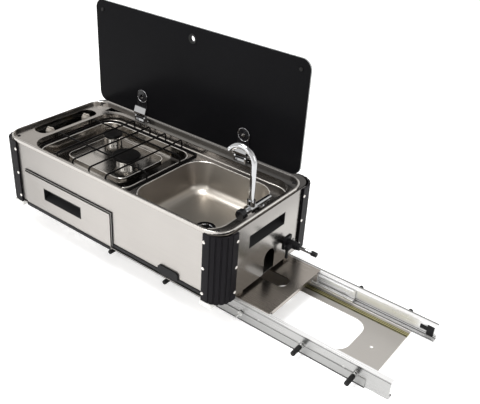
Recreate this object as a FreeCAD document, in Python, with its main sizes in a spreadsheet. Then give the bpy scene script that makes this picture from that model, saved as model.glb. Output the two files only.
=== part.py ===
import FreeCAD, Part
import math
import os
import Sketcher

doc = FreeCAD.newDocument("stove_sink")
sheet = doc.addObject("Spreadsheet::Sheet", "sizes")

# Driving sizes, all in millimetres.
SIZES = {
    # Housing and where it stands on the base
    "box_length": 810, "box_depth": 400, "base_length": 915, "pull_out": 320, "tray_reach": 90,
    "panel_wall": 1.5, "panel_tuck": 1, "deck_wall": 1.2, "deck_top": 262, "panel_bottom": 75,
    "post_bottom": 66, "floor_level": 66, "running_gap": 0.3,
    # Corner posts, rivets, feet
    "post_leg": 61, "post_round": 45, "post_wall": 6, "flute_radius": 2.2, "rivet_inset": 57.5,
    "rivet_mid": 162, "rivet_rise": 75, "rivet_radius": 4.5, "rivet_height": 1.8,
    "foot_inset": 26, "foot_length": 38, "foot_width": 38, "foot_proud": 2, "foot_round": 4,
    "foot_drop": 12,
    # Rim and pressed top
    "rim_inset": 10, "rim_front_inset": 3, "rim_back_inset": 35, "rim_width": 5.5, "rim_height": 9,
    "rim_round": 50, "rim_bead": 2.4, "deck_inset": 9, "deck_round": 48, "seam_shift": 5, "seam_gap": 0.3,
    "recess_left": 93, "recess_right": 26, "recess_front": 20, "recess_back": 65, "recess_depth": 22,
    "recess_round": 52, "ledge_width": 13, "ledge_back": 20, "well_length": 355, "well_depth": 41,
    "well_round": 40, "well_bend": 12, "plateau_height": 8, "plateau_round": 26, "plateau_bend": 3,
    "ridge_width": 19.5, "bowl_right": 62, "bowl_depth": 88, "bowl_round": 62, "bowl_taper": 13,
    "bowl_bend": 36, "slot_left": 26, "slot_width": 56, "slot_front": 82, "slot_length": 213,
    "slot_end": 24, "pocket_left": 75, "pocket_side": 133, "pocket_low": 78, "pocket_high": 49,
    "screw_side": 38, "screw_front": 30, "screw_back": 20, "screw_radius": 5, "screw_height": 1.5,
    # Burners and gas line
    "big_cap": 41, "small_cap": 29, "cap_height": 9, "cap_edge": 3, "cup_height": 19.5, "cup_flare": 6,
    "neck_radius": 10, "neck_drop": 22, "neck_gap": 0.5, "plug_radius": 2, "plug_height": 14,
    "plug_gap": 6, "gas_pipe": 4, "gas_bend": 16, "valve_side": 24, "valve_height": 30,
    "valve_top": 28, "stem_radius": 3, "stem_rise": 16, "knob_radius": 12.5, "knob_height": 24,
    "knob_wing": 5, "knob_wing_height": 3, "knob_wing_round": 2, "bore_gap": 0.05,
    "knob_front": 127, "knob_back": 264, "manifold_radius": 6, "manifold_end": 18, "feed_back": 40,
    # Pot support wires
    "wire_radius": 2.7, "finger_radius": 2.4, "wire_rise": 27, "wire_bend": 9, "cross_drop": 3.7,
    # Sink waste
    "drain_flange": 30, "drain_lip": 2, "drain_throat": 21,
    "drain_drop": 26, "drain_wall": 2, "strainer_wall": 1.5, "strainer_hole": 3, "strainer_ring": 12,
    "nut_radius": 29, "nut_height": 8, "waste_radius": 20.5, "waste_level": 100, "waste_bend": 24,
    # Tap
    "tap_right": 45, "tap_level": 20, "tap_front": 138, "tap_length": 106, "bar_radius": 7.5,
    "tap_foot": 9, "tap_foot_inset": 14, "tap_foot_pad": 14, "tap_foot_pad_height": 3, "collar_radius": 13.5,
    "collar_length": 24, "collar_start": 14, "spout_radius": 7.5, "spout_bore": 5.5, "spout_height": 120,
    "spout_bend": 38, "spout_turn": 142, "ferrule_radius": 10.5, "ferrule_height": 26, "tip_collar": 8.4,
    "tip_height": 6, "tap_knob_radius": 14, "tap_knob_length": 20, "tap_knob_step": 4,
    "tap_knob_neck": 10, "tap_pin": 3, "tap_pin_length": 14, "tail_radius": 6, "tail_length": 60,
    # Lid and hinges
    "lid_length": 754, "lid_height": 316, "lid_wall": 5, "lid_round": 28, "lid_offset": 11.5,
    "lid_start": 5, "hole_radius": 10, "hole_drop": 35, "grommet_radius": 13.5,
    "grommet_lip": 1.5, "hinge_back": 57, "hinge_rise": 14, "hinge_spread": 191, "knuckle_radius": 4.6,
    "knuckle_length": 30, "hinge_pin": 2.5, "leaf_width": 40, "leaf_wall": 3, "leaf_neck": 10,
    "leaf_height": 76, "leaf_round": 19, "ear_wall": 5, "ear_radius": 6, "ear_foot": 14, "ear_foot_height": 4,
    "leaf_screw": 6, "leaf_screw_height": 2.4, "bumper_radius": 5, "bumper_height": 3, "bumper_inset": 28,
    "clip_width": 44, "clip_shift": 5, "clip_low": 6.8, "clip_tall": 24, "clip_deep": 9, "clip_top": 3,
    # Front panel, drawer, skirt, handles
    "drawer_left": 87, "drawer_width": 347, "drawer_bottom": 67, "drawer_height": 111, "drawer_gap": 0.5,
    "opening_inset": 7, "opening_low": 13, "tray_inset": 10, "tray_bottom": 82, "tray_height": 84,
    "tray_depth": 262, "tray_wall": 1.2, "runner_width": 14, "runner_inset": 22, "runner_end": 16,
    "cup_left": 81, "cup_width": 153, "cup_low": 48, "cup_tall": 37, "cup_deep": 20, "cup_wall": 2,
    "cup_slope": 15, "cup_lip": 1, "skirt_level": 77, "skirt_tall": 9, "skirt_wall": 2, "skirt_end": 64,
    "badge_right": 138, "badge_width": 68, "badge_tall": 26, "badge_wall": 4.5, "badge_round": 10,
    "seal_gap": 0.5, "seal_tall": 5.5, "seal_side": 5, "seal_wall": 3,
    # Right end: handle, hose slot, gas inlet
    "end_cup_front": 113, "end_cup_low": 185, "hose_shift": 8, "hose_width": 46, "hose_top": 135,
    "inlet_level": 118, "inlet_plate": 34, "inlet_plate_wall": 4, "inlet_body": 11,
    "inlet_length": 30, "inlet_nut": 9, "inlet_nut_length": 8, "inlet_pipe": 5, "inlet_pipe_length": 44,
    "inlet_cap": 6.8, "inlet_cap_length": 16, "inlet_cap_cover": 8, "lever_hub": 7, "lever_length": 12,
    "lever_arm": 30, "lever_wall": 6, "lever_stem": 3, "lever_hub_length": 8, "bleed_radius": 2.5,
    "bleed_height": 8,
    # Base, slides and tray
    "plate_length": 797, "plate_wall": 2, "flange_rise": 23, "flange_cut": 12, "window_right": 94.5,
    "window_length": 265, "window_width": 138, "window_round": 38, "bolt_side": 50.5, "bolt_radius": 4.25,
    "slide_outer": 129, "slide_tall": 50, "slide_depth": 23, "slide_wall": 2, "outer_lip": 15,
    "outer_curl": 5, "middle_trim": 52, "middle_set": 5, "middle_lip": 20, "middle_low": 6.5,
    "middle_curl": 4.5, "inner_low": 13, "inner_lip": 13, "cage_length": 300, "cage_end": 20, "cage_set": 9.6,
    "cage_inner": 14.5, "cage_width": 4, "cage_wall": 1.6, "roller_play": 0.05, "roller_length": 3,
    "pan_gap": 0.5, "pan_wall": 2, "pan_over": 13, "pan_flange": 30, "pan_start": 20, "pan_lip": 10,
    "riser_width": 14, "riser_end": 12, "vent_left": 45, "vent_right": 32, "vent_round": 20,
    "stud_level": 22, "stud_radius": 3, "stud_length": 26, "stud_nut": 6.5, "stud_nut_height": 4,
    "stud_cap": 6.2, "stud_cap_length": 33, "stud_cap_cover": 22,
    "stop_length": 18, "stop_wall": 2.6, "stop_low": 6, "stop_tall": 34, "stop_tab": 18, "stop_end": 8,
}


class Size:
    """A length that carries its number and the spreadsheet expression behind it."""

    def __init__(self, number, text):
        self.number = float(number)
        self.text = text

    def __add__(self, other):
        return Size(self.number + number(other), "(%s + %s)" % (self.text, text(other)))

    def __radd__(self, other):
        return Size(number(other) + self.number, "(%s + %s)" % (text(other), self.text))

    def __sub__(self, other):
        return Size(self.number - number(other), "(%s - %s)" % (self.text, text(other)))

    def __mul__(self, factor):
        return Size(self.number * factor, "(%s * %s)" % (self.text, factor))

    def __rmul__(self, factor):
        return self * factor

    def __truediv__(self, factor):
        return Size(self.number / factor, "(%s / %s)" % (self.text, factor))

    def __neg__(self):
        return self * -1


def lesser(first, second):
    """The smaller of two lengths."""
    return Size(min(number(first), number(second)), "min(%s; %s)" % (text(first), text(second)))


def number(value):
    return value.number if isinstance(value, Size) else float(value)


def text(value):
    return value.text if isinstance(value, Size) else str(value)


class Sizes:
    pass


s = Sizes()
for row, alias in enumerate(SIZES, 1):
    sheet.set("A%d" % row, alias)
    sheet.set("B%d" % row, str(SIZES[alias]))
    sheet.setAlias("B%d" % row, alias)
doc.recompute()
for alias in SIZES:
    setattr(s, alias, Size(sheet.get(alias), "sizes." + alias))

V = FreeCAD.Vector
ZERO = Size(0, "0")
TURN = {
    "X": FreeCAD.Rotation(V(0, 1, 0), 90),
    "Y": FreeCAD.Rotation(V(1, 0, 0), -90),
    "Z": FreeCAD.Rotation(),
    "-X": FreeCAD.Rotation(V(0, 1, 0), -90),
    "-Y": FreeCAD.Rotation(V(1, 0, 0), 90),
    "-Z": FreeCAD.Rotation(V(1, 0, 0), 180),
}
nodes = {}


def node(label, thing):
    thing.Label = label
    nodes[label] = thing
    return thing


def bind(thing, prop, size):
    thing.setExpression(prop, text(size))


def put(thing, place, axis="Z"):
    thing.Placement = FreeCAD.Placement(V(*[number(p) for p in place]), TURN[axis])
    for letter, size in zip("xyz", place):
        bind(thing, "Placement.Base." + letter, size)
    return thing


def block(name, low, high):
    thing = doc.addObject("Part::Box", name)
    for prop, a, b in zip(("Length", "Width", "Height"), low, high):
        bind(thing, prop, b - a)
    return put(thing, low)


def rod(name, start, radius, length, axis="Z"):
    thing = doc.addObject("Part::Cylinder", name)
    bind(thing, "Radius", radius)
    bind(thing, "Height", length)
    return put(thing, start, axis)


def join(name, things):
    thing = doc.addObject("Part::MultiFuse", name)
    thing.Shapes = things
    return thing


def group(name, things):
    thing = doc.addObject("Part::Compound", name)
    thing.Links = things
    return thing


def cut(name, base, tool):
    thing = doc.addObject("Part::Cut", name)
    thing.Base = base
    thing.Tool = tool
    return thing


def made(name, shape):
    thing = doc.addObject("Part::Feature", name)
    thing.Shape = shape
    return thing


def start_body(name, place=None, axis="Z"):
    body = doc.addObject("PartDesign::Body", name)
    if place:
        put(body, place, axis)
    return body


def start_sketch(body, name, plane="XY_Plane", lift=None):
    sketch = body.newObject("Sketcher::SketchObject", name)
    support = [f for f in body.Origin.OriginFeatures if f.Role == plane][0]
    sketch.AttachmentSupport = [(support, "")]
    sketch.MapMode = "FlatFace"
    if lift is not None:
        bind(sketch, "AttachmentOffset.Base.z", lift)
    return sketch


def fix_point(sketch, geometry, position, x, y):
    """Hold one sketch point at expressions measured from the sketch origin."""
    for kind, axis, size in (("DistanceX", -2, x), ("DistanceY", -1, y)):
        if abs(number(size)) < 1e-9:
            sketch.addConstraint(Sketcher.Constraint("PointOnObject", geometry, position, axis))
        else:
            rule = Sketcher.Constraint(kind, -1, 1, geometry, position, number(size))
            index = sketch.addConstraint(rule)
            bind(sketch, "Constraints[%d]" % index, size)


def draw_polygon(sketch, points):
    corners = [V(number(x), number(y), 0) for x, y in points]
    lines = []
    for a, b in zip(corners, corners[1:] + corners[:1]):
        lines.append(sketch.addGeometry(Part.LineSegment(a, b), False))
    for a, b in zip(lines, lines[1:] + lines[:1]):
        sketch.addConstraint(Sketcher.Constraint("Coincident", a, 2, b, 1))
    for line, (x, y) in zip(lines, points):
        fix_point(sketch, line, 1, x, y)


def draw_circle(sketch, x, y, radius):
    circle = Part.Circle(V(number(x), number(y), 0), V(0, 0, 1), number(radius))
    index = sketch.addGeometry(circle, False)
    fix_point(sketch, index, 3, x, y)
    rule = sketch.addConstraint(Sketcher.Constraint("Radius", index, number(radius)))
    bind(sketch, "Constraints[%d]" % rule, radius)


def draw_rounded(sketch, low, high, radius):
    """A rectangle with four equal round corners, counter-clockwise."""
    x0, y0, x1, y1, r = [number(n) for n in (low[0], low[1], high[0], high[1], radius)]
    up = V(0, 0, 1)
    ends = [
        (V(x0 + r, y0, 0), V(x1 - r, y0, 0)), (V(x1, y0 + r, 0), V(x1, y1 - r, 0)),
        (V(x1 - r, y1, 0), V(x0 + r, y1, 0)), (V(x0, y1 - r, 0), V(x0, y0 + r, 0)),
    ]
    centres = [V(x1 - r, y0 + r, 0), V(x1 - r, y1 - r, 0), V(x0 + r, y1 - r, 0), V(x0 + r, y0 + r, 0)]
    lines = [sketch.addGeometry(Part.LineSegment(a, b), False) for a, b in ends]
    arcs = []
    for quarter, centre in enumerate(centres):
        first = (quarter - 1) * math.pi / 2
        curve = Part.ArcOfCircle(Part.Circle(centre, up, r), first, first + math.pi / 2)
        arcs.append(sketch.addGeometry(curve, False))
    for side in range(4):
        sketch.addConstraint(Sketcher.Constraint("Tangent", lines[side], 2, arcs[side], 1))
        sketch.addConstraint(Sketcher.Constraint("Tangent", arcs[side], 2, lines[(side + 1) % 4], 1))
        kind = "Vertical" if side % 2 else "Horizontal"
        sketch.addConstraint(Sketcher.Constraint(kind, lines[side]))
    for arc in arcs[1:]:
        sketch.addConstraint(Sketcher.Constraint("Equal", arcs[0], arc))
    rule = sketch.addConstraint(Sketcher.Constraint("Radius", arcs[0], r))
    bind(sketch, "Constraints[%d]" % rule, radius)
    for line, kind, axis, size in (
        (lines[0], "DistanceY", -1, low[1]), (lines[1], "DistanceX", -2, high[0]),
        (lines[2], "DistanceY", -1, high[1]), (lines[3], "DistanceX", -2, low[0]),
    ):
        if abs(number(size)) < 1e-9:
            sketch.addConstraint(Sketcher.Constraint("PointOnObject", line, 1, axis))
        else:
            rule = sketch.addConstraint(Sketcher.Constraint(kind, -1, 1, line, 1, number(size)))
            bind(sketch, "Constraints[%d]" % rule, size)


def pad(body, sketch, length, down=False, taper=None):
    feature = body.newObject("PartDesign::Pad", sketch.Name + "_pad")
    feature.Profile = sketch
    bind(feature, "Length", length)
    if taper is not None:
        bind(feature, "TaperAngle", -taper)
    feature.Reversed = down
    sketch.Visibility = False
    doc.recompute()
    return feature


def pocket(body, sketch, length=None, up=False, taper=None):
    """Cut a sketch out of the body, and stop if nothing was cut."""
    before = body.Shape.Volume
    feature = body.newObject("PartDesign::Pocket", sketch.Name + "_cut")
    feature.Profile = sketch
    if length is None:
        feature.Type = "ThroughAll"
    else:
        bind(feature, "Length", length)
    if taper is not None:
        bind(feature, "TaperAngle", -taper)
    feature.Reversed = up
    sketch.Visibility = False
    doc.recompute()
    if not body.Shape.Volume < before:
        raise RuntimeError(sketch.Name + " cuts nothing")
    return feature


def revolve(name, points, place, axis="Z"):
    """A turned piece: half profile as (radius, height) pairs around the local Z axis."""
    body = start_body(name, place, axis)
    sketch = start_sketch(body, name + "_profile", "XZ_Plane")
    draw_polygon(sketch, points)
    feature = body.newObject("PartDesign::Revolution", name + "_turned")
    feature.Profile = sketch
    feature.ReferenceAxis = (sketch, ["V_Axis"])
    feature.Angle = 360
    sketch.Visibility = False
    doc.recompute()
    return body


def soften(body, name, radius, wanted):
    """Fillet the edges of the body's tip that pass the test."""
    base = body.Tip
    names = ["Edge%d" % i for i, edge in enumerate(base.Shape.Edges, 1) if wanted(edge)]
    if not names:
        raise RuntimeError(name + " finds no edge")
    feature = body.newObject("PartDesign::Fillet", name)
    feature.Base = (base, names)
    bind(feature, "Radius", radius)
    doc.recompute()
    return feature


def flat_at(height):
    """A test for edges that lie in the plane z = height."""
    def wanted(edge):
        box = edge.BoundBox
        return abs(box.ZMin - number(height)) < 1e-4 and abs(box.ZMax - number(height)) < 1e-4
    return wanted


def tube_shape(points, radius, bend, bore=None):
    """A round bar along a path with rounded corners; hollow where a bore is given."""
    path = [V(*[number(c) for c in p]) for p in points]
    edges = []
    last = path[0]
    for before, corner, after in zip(path, path[1:], path[2:]):
        a = (before - corner).normalize()
        b = (after - corner).normalize()
        half = a.getAngle(b) / 2
        reach = number(bend) / math.tan(half)
        first = corner + a * reach
        second = corner + b * reach
        middle_way = (a + b).normalize()
        middle = corner + middle_way * (number(bend) / math.sin(half) - number(bend))
        if (first - last).Length > 1e-6:
            edges.append(Part.makeLine(last, first))
        edges.append(Part.Arc(first, middle, second).toShape())
        last = second
    if (path[-1] - last).Length > 1e-6:
        edges.append(Part.makeLine(last, path[-1]))
    spine = Part.Wire(edges)
    way = (path[1] - path[0]).normalize()

    def swept(size):
        ring = Part.Wire(Part.makeCircle(number(size), path[0], way))
        return spine.makePipeShell([ring], True, True)

    bar = swept(radius)
    return bar.cut(swept(bore)) if bore else bar


# Places used by many pieces.  X runs along the slides, -Y is the drawer side, Z is up.
left = -(s.base_length / 2) - s.pull_out
right = left + s.box_length
front = -(s.box_depth / 2)
back = s.box_depth / 2
deck_under = s.deck_top - s.deck_wall
skin_left = left + s.post_wall
skin_right = right - s.post_wall
skin_front = front + s.post_wall
skin_back = back - s.post_wall
wall = s.panel_wall

# Base: plate with upturned long sides, two windows and two bolt holes
plate_half = s.plate_length / 2
plate_side = s.slide_outer + s.plate_wall
body = start_body("base_plate")
sketch = start_sketch(body, "base_section", "YZ_Plane", -plate_half)
draw_polygon(sketch, [
    (-plate_side, ZERO), (plate_side, ZERO), (plate_side, s.plate_wall + s.flange_rise),
    (s.slide_outer, s.plate_wall + s.flange_rise), (s.slide_outer, s.plate_wall),
    (-s.slide_outer, s.plate_wall), (-s.slide_outer, s.plate_wall + s.flange_rise),
    (-plate_side, s.plate_wall + s.flange_rise),
])
pad(body, sketch, s.plate_length)
sketch = start_sketch(body, "base_windows", "XY_Plane")
window_far = plate_half - s.window_right
window_near = window_far - s.window_length
half_width = s.window_width / 2
draw_rounded(sketch, (window_near, -half_width), (window_far, half_width), s.window_round)
draw_rounded(sketch, (-window_far, -half_width), (-window_near, half_width), s.window_round)
for side in (-1, 1):
    draw_circle(sketch, (plate_half - s.bolt_side) * side, ZERO, s.bolt_radius)
pocket(body, sketch, up=True)
sketch = start_sketch(body, "base_corner_cuts", "XZ_Plane", -plate_side)
flange_top = s.plate_wall + s.flange_rise
for side in (-1, 1):
    draw_polygon(sketch, [
        (plate_half * side, flange_top - s.flange_cut), (plate_half * side, flange_top),
        ((plate_half - s.flange_cut) * side, flange_top),
    ])
pocket(body, sketch, up=False)
node("base_plate", body)


def rail(name, side, start, length, points):
    """A slide member: section drawn from the outer web towards the middle of the unit."""
    rail_body = start_body(name, (start, ZERO, s.plate_wall))
    section = start_sketch(rail_body, name + "_section", "YZ_Plane")
    drawn = [((s.slide_outer - u) * side, v) for u, v in points]
    draw_polygon(section, drawn if side > 0 else drawn[::-1])
    pad(rail_body, section, length)
    return node(name, rail_body)


def channel(web, lip, low, curl):
    """Points of a lipped channel that opens towards the middle of the unit."""
    t = s.slide_wall
    high = s.slide_tall - low
    tip = web + lip
    return [
        (web, low), (tip, low), (tip, low + curl), (tip - t, low + curl), (tip - t, low + t),
        (web + t, low + t), (web + t, high - t), (tip - t, high - t), (tip - t, high - curl),
        (tip, high - curl), (tip, high), (web, high),
    ]


inner_back = s.slide_depth
inner_high = s.slide_tall - s.inner_low
inner_points = [
    (inner_back, s.inner_low), (inner_back, inner_high), (inner_back - s.inner_lip, inner_high),
    (inner_back - s.inner_lip, inner_high - s.slide_wall),
    (inner_back - s.slide_wall, inner_high - s.slide_wall),
    (inner_back - s.slide_wall, s.inner_low + s.slide_wall),
    (inner_back - s.inner_lip, s.inner_low + s.slide_wall), (inner_back - s.inner_lip, s.inner_low),
]
base_left = -(s.base_length / 2)
tray_end = right + s.tray_reach
carriage_length = s.box_length + s.tray_reach
middle_start = left + s.pull_out / 2
middle_length = carriage_length - s.middle_trim
for side, word in ((-1, "front"), (1, "rear")):
    outer = channel(ZERO, s.outer_lip, ZERO, s.outer_curl)
    rail(word + "_outer_rail", side, base_left, s.base_length, outer)
    middle = channel(s.middle_set, s.middle_lip - s.middle_set, s.middle_low, s.middle_curl)
    rail(word + "_middle_rail", side, middle_start, middle_length, middle)
    rail(word + "_inner_rail", side, left, carriage_length, inner_points)

# Roller cages: thin strips with bearing rollers, outside and inside the middle members
cage_from = middle_start + middle_length - s.cage_end - s.cage_length
cages = []
roller_shares = (0.04, 0.22, 0.40, 0.60, 0.78, 0.96)
half_tall = s.slide_tall / 2
half_strip = s.cage_wall / 2
outer_track = half_tall - (s.middle_low + s.slide_wall) / 2
inner_track = half_tall - (s.middle_low + s.slide_wall + s.inner_low) / 2
outer_roller = (s.middle_low - s.slide_wall) / 2 - s.roller_play
inner_roller = (s.inner_low - s.middle_low - s.slide_wall) / 2 - s.roller_play


def roller_cage(name, side, level, set_in, radius):
    middle_y = (s.slide_outer - set_in) * side
    strip = block(
        name, (cage_from, middle_y - s.cage_width / 2, level - half_strip),
        (cage_from + s.cage_length, middle_y + s.cage_width / 2, level + half_strip))
    rollers = []
    for count, share in enumerate(roller_shares):
        centre = (cage_from + s.cage_length * share, middle_y - s.roller_length / 2, level)
        rollers.append(rod("%s_roller_%d" % (name, count), centre, radius, s.roller_length, "Y"))
    return join(name + "_set", [strip] + rollers)


for side, word in ((-1, "front"), (1, "rear")):
    for end, way in ((-1, "low"), (1, "top")):
        level = s.plate_wall + half_tall
        name = "cage_%s_%s" % (word, way)
        cages.append(roller_cage(name + "_outer", side, level + outer_track * end, s.cage_set, outer_roller))
        cages.append(roller_cage(
            name + "_inner", side, level + inner_track * end, s.cage_inner, inner_roller))
node("roller_cages", group("roller_cages", cages))

# Studs through the plate flanges, with nuts and rubber caps on all but the middle ones
studs = []
caps = []
stud_shares = (0.0169, 0.2742, 0.5583, 0.7836, 0.9643)
bare_stud = 2
for side, axis in ((-1, "-Y"), (1, "Y")):
    for count, share in enumerate(stud_shares):
        x = s.plate_length * share - plate_half
        y = plate_side * side
        name = "stud_%s_%d" % (("rear", "front")[side < 0], count)
        shank = rod(name, (x, y, s.stud_level), s.stud_radius, s.stud_length, axis)
        nut = rod(name + "_nut", (x, y, s.stud_level), s.stud_nut, s.stud_nut_height, axis)
        studs.append(join(name + "_set", [shank, nut]))
        if count == bare_stud:
            continue
        tip = y + (s.stud_length - s.stud_cap_cover) * side
        cap = rod(name + "_cap", (x, tip, s.stud_level), s.stud_cap, s.stud_cap_length, axis)
        hole = rod(name + "_bore", (x, tip, s.stud_level), s.stud_radius, s.stud_cap_cover, axis)
        caps.append(cut(name + "_sleeve", cap, hole))
node("rail_studs", group("rail_studs", studs))
node("stud_caps", group("stud_caps", caps))

# Plastic stops in the ends of the outer members
stops = []
for side in (-1, 1):
    web = (s.slide_outer - s.slide_wall) * side
    face = (s.slide_outer - s.slide_wall - s.stop_wall) * side
    low_y, high_y = (web, face) if side < 0 else (face, web)
    end = s.base_length / 2 - s.stop_end
    low_z = s.plate_wall + s.stop_low
    name = "stop_%s" % ("rear", "front")[side < 0]
    plate = block(name, (end - s.stop_length, low_y, low_z), (end, high_y, low_z + s.stop_tall))
    tab = block(
        name + "_tab", (end - s.stop_length - s.stop_tab, low_y, low_z + s.stop_tall / 3),
        (end - s.stop_length, high_y, low_z + s.stop_tall * 2 / 3))
    stops.append(join(name + "_set", [plate, tab]))
node("rail_stops", group("rail_stops", stops))

# Tray: a sheet over the slides with flanges down to the inner members, a vent and an end lip
pan_side = s.slide_outer - s.slide_depth
pan_edge = pan_side + s.pan_over
pan_low = s.plate_wall + s.slide_tall + s.pan_gap
pan_top = pan_low + s.pan_wall
flange_end = pan_low - s.pan_flange
body = start_body("slide_tray", (left + s.pan_start, ZERO, ZERO))
sketch = start_sketch(body, "tray_section", "YZ_Plane")
draw_polygon(sketch, [
    (-pan_edge, pan_low), (-pan_side, pan_low), (-pan_side, flange_end), (s.pan_wall - pan_side, flange_end),
    (s.pan_wall - pan_side, pan_low), (pan_side - s.pan_wall, pan_low), (pan_side - s.pan_wall, flange_end),
    (pan_side, flange_end), (pan_side, pan_low), (pan_edge, pan_low),
    (pan_edge, pan_top), (-pan_edge, pan_top),
])
pan_length = carriage_length - s.pan_start
pad(body, sketch, pan_length)
sketch = start_sketch(body, "tray_risers", "XY_Plane", pan_top)
for side in (-1, 1):
    edges = (pan_side * side, (pan_side - s.riser_width) * side)
    low_y, high_y = edges if side < 0 else edges[::-1]
    draw_polygon(sketch, [
        (ZERO, low_y), (s.box_length - s.pan_start - s.riser_end, low_y),
        (s.box_length - s.pan_start - s.riser_end, high_y), (ZERO, high_y),
    ])
pad(body, sketch, s.floor_level - pan_top)
sketch = start_sketch(body, "tray_vent", "XY_Plane", pan_top)
hose_y = s.hose_shift
draw_rounded(
    sketch, (s.box_length - s.pan_start - s.vent_left, hose_y - s.hose_width / 2),
    (pan_length - s.vent_right, hose_y + s.hose_width / 2), s.vent_round)
pocket(body, sketch)
sketch = start_sketch(body, "tray_lip", "YZ_Plane", pan_length - s.pan_wall)
lip_side = pan_side - s.pan_wall - s.running_gap
draw_polygon(sketch, [
    (-lip_side, pan_low - s.pan_lip), (lip_side, pan_low - s.pan_lip),
    (lip_side, pan_low), (-lip_side, pan_low),
])
pad(body, sketch, s.pan_wall)
node("slide_tray", body)

# Housing floor and its four sheet panels
floor_top = s.floor_level + wall
floor_body = start_body("housing_floor")
sketch = start_sketch(floor_body, "floor_outline", "XY_Plane", s.floor_level)
draw_rounded(
    sketch, (skin_left + wall, skin_front + wall), (skin_right - wall, skin_back - wall),
    s.post_round - s.post_wall - wall)
pad(floor_body, sketch, wall)
node("housing_floor", floor_body)
tuck = s.post_round + s.panel_tuck
node("rear_panel", block(
    "rear_panel", (left + tuck, skin_back - wall, s.floor_level), (right - tuck, skin_back, deck_under)))
node("left_panel", block(
    "left_panel", (skin_left, front + tuck, s.floor_level), (skin_left + wall, back - tuck, deck_under)))
drawer_x = left + s.drawer_left
sheet_front = block(
    "front_sheet", (left + tuck, skin_front, s.panel_bottom), (right - tuck, skin_front + wall, deck_under))
drawer_hole = block(
    "drawer_hole",
    (drawer_x + s.opening_inset, skin_front - wall, s.drawer_bottom + s.opening_low),
    (drawer_x + s.drawer_width - s.opening_inset, skin_front + wall * 2,
     s.drawer_bottom + s.drawer_height - s.opening_inset))
node("front_panel", cut("front_panel", sheet_front, drawer_hole))
cup_y = front + s.end_cup_front
sheet_right = block(
    "right_sheet", (skin_right - wall, front + tuck, s.floor_level), (skin_right, back - tuck, deck_under))
cup_hole = block(
    "end_cup_hole", (skin_right - wall * 2, cup_y, s.end_cup_low),
    (skin_right + wall, cup_y + s.cup_width, s.end_cup_low + s.cup_tall))
hose_half = s.hose_width / 2
hose_hole = block(
    "hose_hole", (skin_right - wall * 2, hose_y - hose_half, s.floor_level - wall),
    (skin_right + wall, hose_y + hose_half, s.hose_top - hose_half))
hose_round = rod(
    "hose_round", (skin_right - wall * 2, hose_y, s.hose_top - hose_half), hose_half, wall * 3, "X")
node("right_panel", cut("right_panel", sheet_right, join("right_holes", [cup_hole, hose_hole, hose_round])))


def corner_post(name, x, y, side_x, side_y):
    """An angle-shaped extrusion with a large round outside and shallow upright flutes."""
    post = start_body(name, (x, y, s.post_bottom))
    outline = start_sketch(post, name + "_section")
    leg = s.post_leg
    t = s.post_wall
    points = [(ZERO, ZERO), (leg, ZERO), (leg, t), (t, t), (t, leg), (ZERO, leg)]
    drawn = [(px * side_x, py * side_y) for px, py in points]
    draw_polygon(outline, drawn if side_x * side_y > 0 else drawn[::-1])
    height = deck_under - s.post_bottom
    pad(post, outline, height)

    def upright_at(px, py):
        def wanted(edge):
            middle = edge.CenterOfMass
            near = abs(middle.x - px) < 1e-3 and abs(middle.y - py) < 1e-3
            return near and edge.BoundBox.ZLength > edge.BoundBox.XLength
        return wanted

    soften(post, name + "_inside", s.post_round - t, upright_at(number(t) * side_x, number(t) * side_y))
    soften(post, name + "_outside", s.post_round, upright_at(0, 0))
    flutes = start_sketch(post, name + "_flutes")
    for angle in (9, 27, 45, 63, 81):
        along = 1 - math.cos(math.radians(angle))
        across = 1 - math.sin(math.radians(angle))
        draw_circle(flutes, s.post_round * along * side_x, s.post_round * across * side_y, s.flute_radius)
    pocket(post, flutes, up=True)
    return node(name, post)


corner_post("front_left_post", left, front, 1, 1)
corner_post("front_right_post", right, front, -1, 1)
corner_post("rear_left_post", left, back, 1, -1)
corner_post("rear_right_post", right, back, -1, -1)

# Rivets through the posts and a foot under each
rivets = []
feet = []
for side_x in (-1, 1):
    for side_y in (-1, 1):
        x_end = right if side_x > 0 else left
        y_end = back if side_y > 0 else front
        tag = "%s_%s" % (("right", "left")[side_x < 0], ("rear", "front")[side_y < 0])
        for level in (-1, 0, 1):
            z = s.rivet_mid + s.rivet_rise * level
            name = "rivet_%s_%d" % (tag, level + 1)
            x = x_end - s.rivet_inset * side_x
            axis = ("-Y", "Y")[side_y > 0]
            rivets.append(rod(name + "_y", (x, y_end, z), s.rivet_radius, s.rivet_height, axis))
            y = y_end - s.rivet_inset * side_y
            axis = ("-X", "X")[side_x > 0]
            rivets.append(rod(name + "_x", (x_end, y, z), s.rivet_radius, s.rivet_height, axis))
        body = start_body("foot_" + tag, (x_end, y_end, s.post_bottom - s.foot_drop))
        sketch = start_sketch(body, "foot_outline_" + tag)
        near_x, far_x = s.foot_inset * -side_x, (s.foot_inset + s.foot_length) * -side_x
        near_y, far_y = s.foot_proud * side_y, (s.foot_width - s.foot_proud) * -side_y
        low = (far_x if side_x > 0 else near_x, far_y if side_y > 0 else near_y)
        high = (near_x if side_x > 0 else far_x, near_y if side_y > 0 else far_y)
        draw_rounded(sketch, low, high, s.foot_round)
        pad(body, sketch, s.foot_drop)
        feet.append(body)
node("post_rivets", group("post_rivets", rivets))
node("corner_feet", group("corner_feet", feet))

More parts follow.
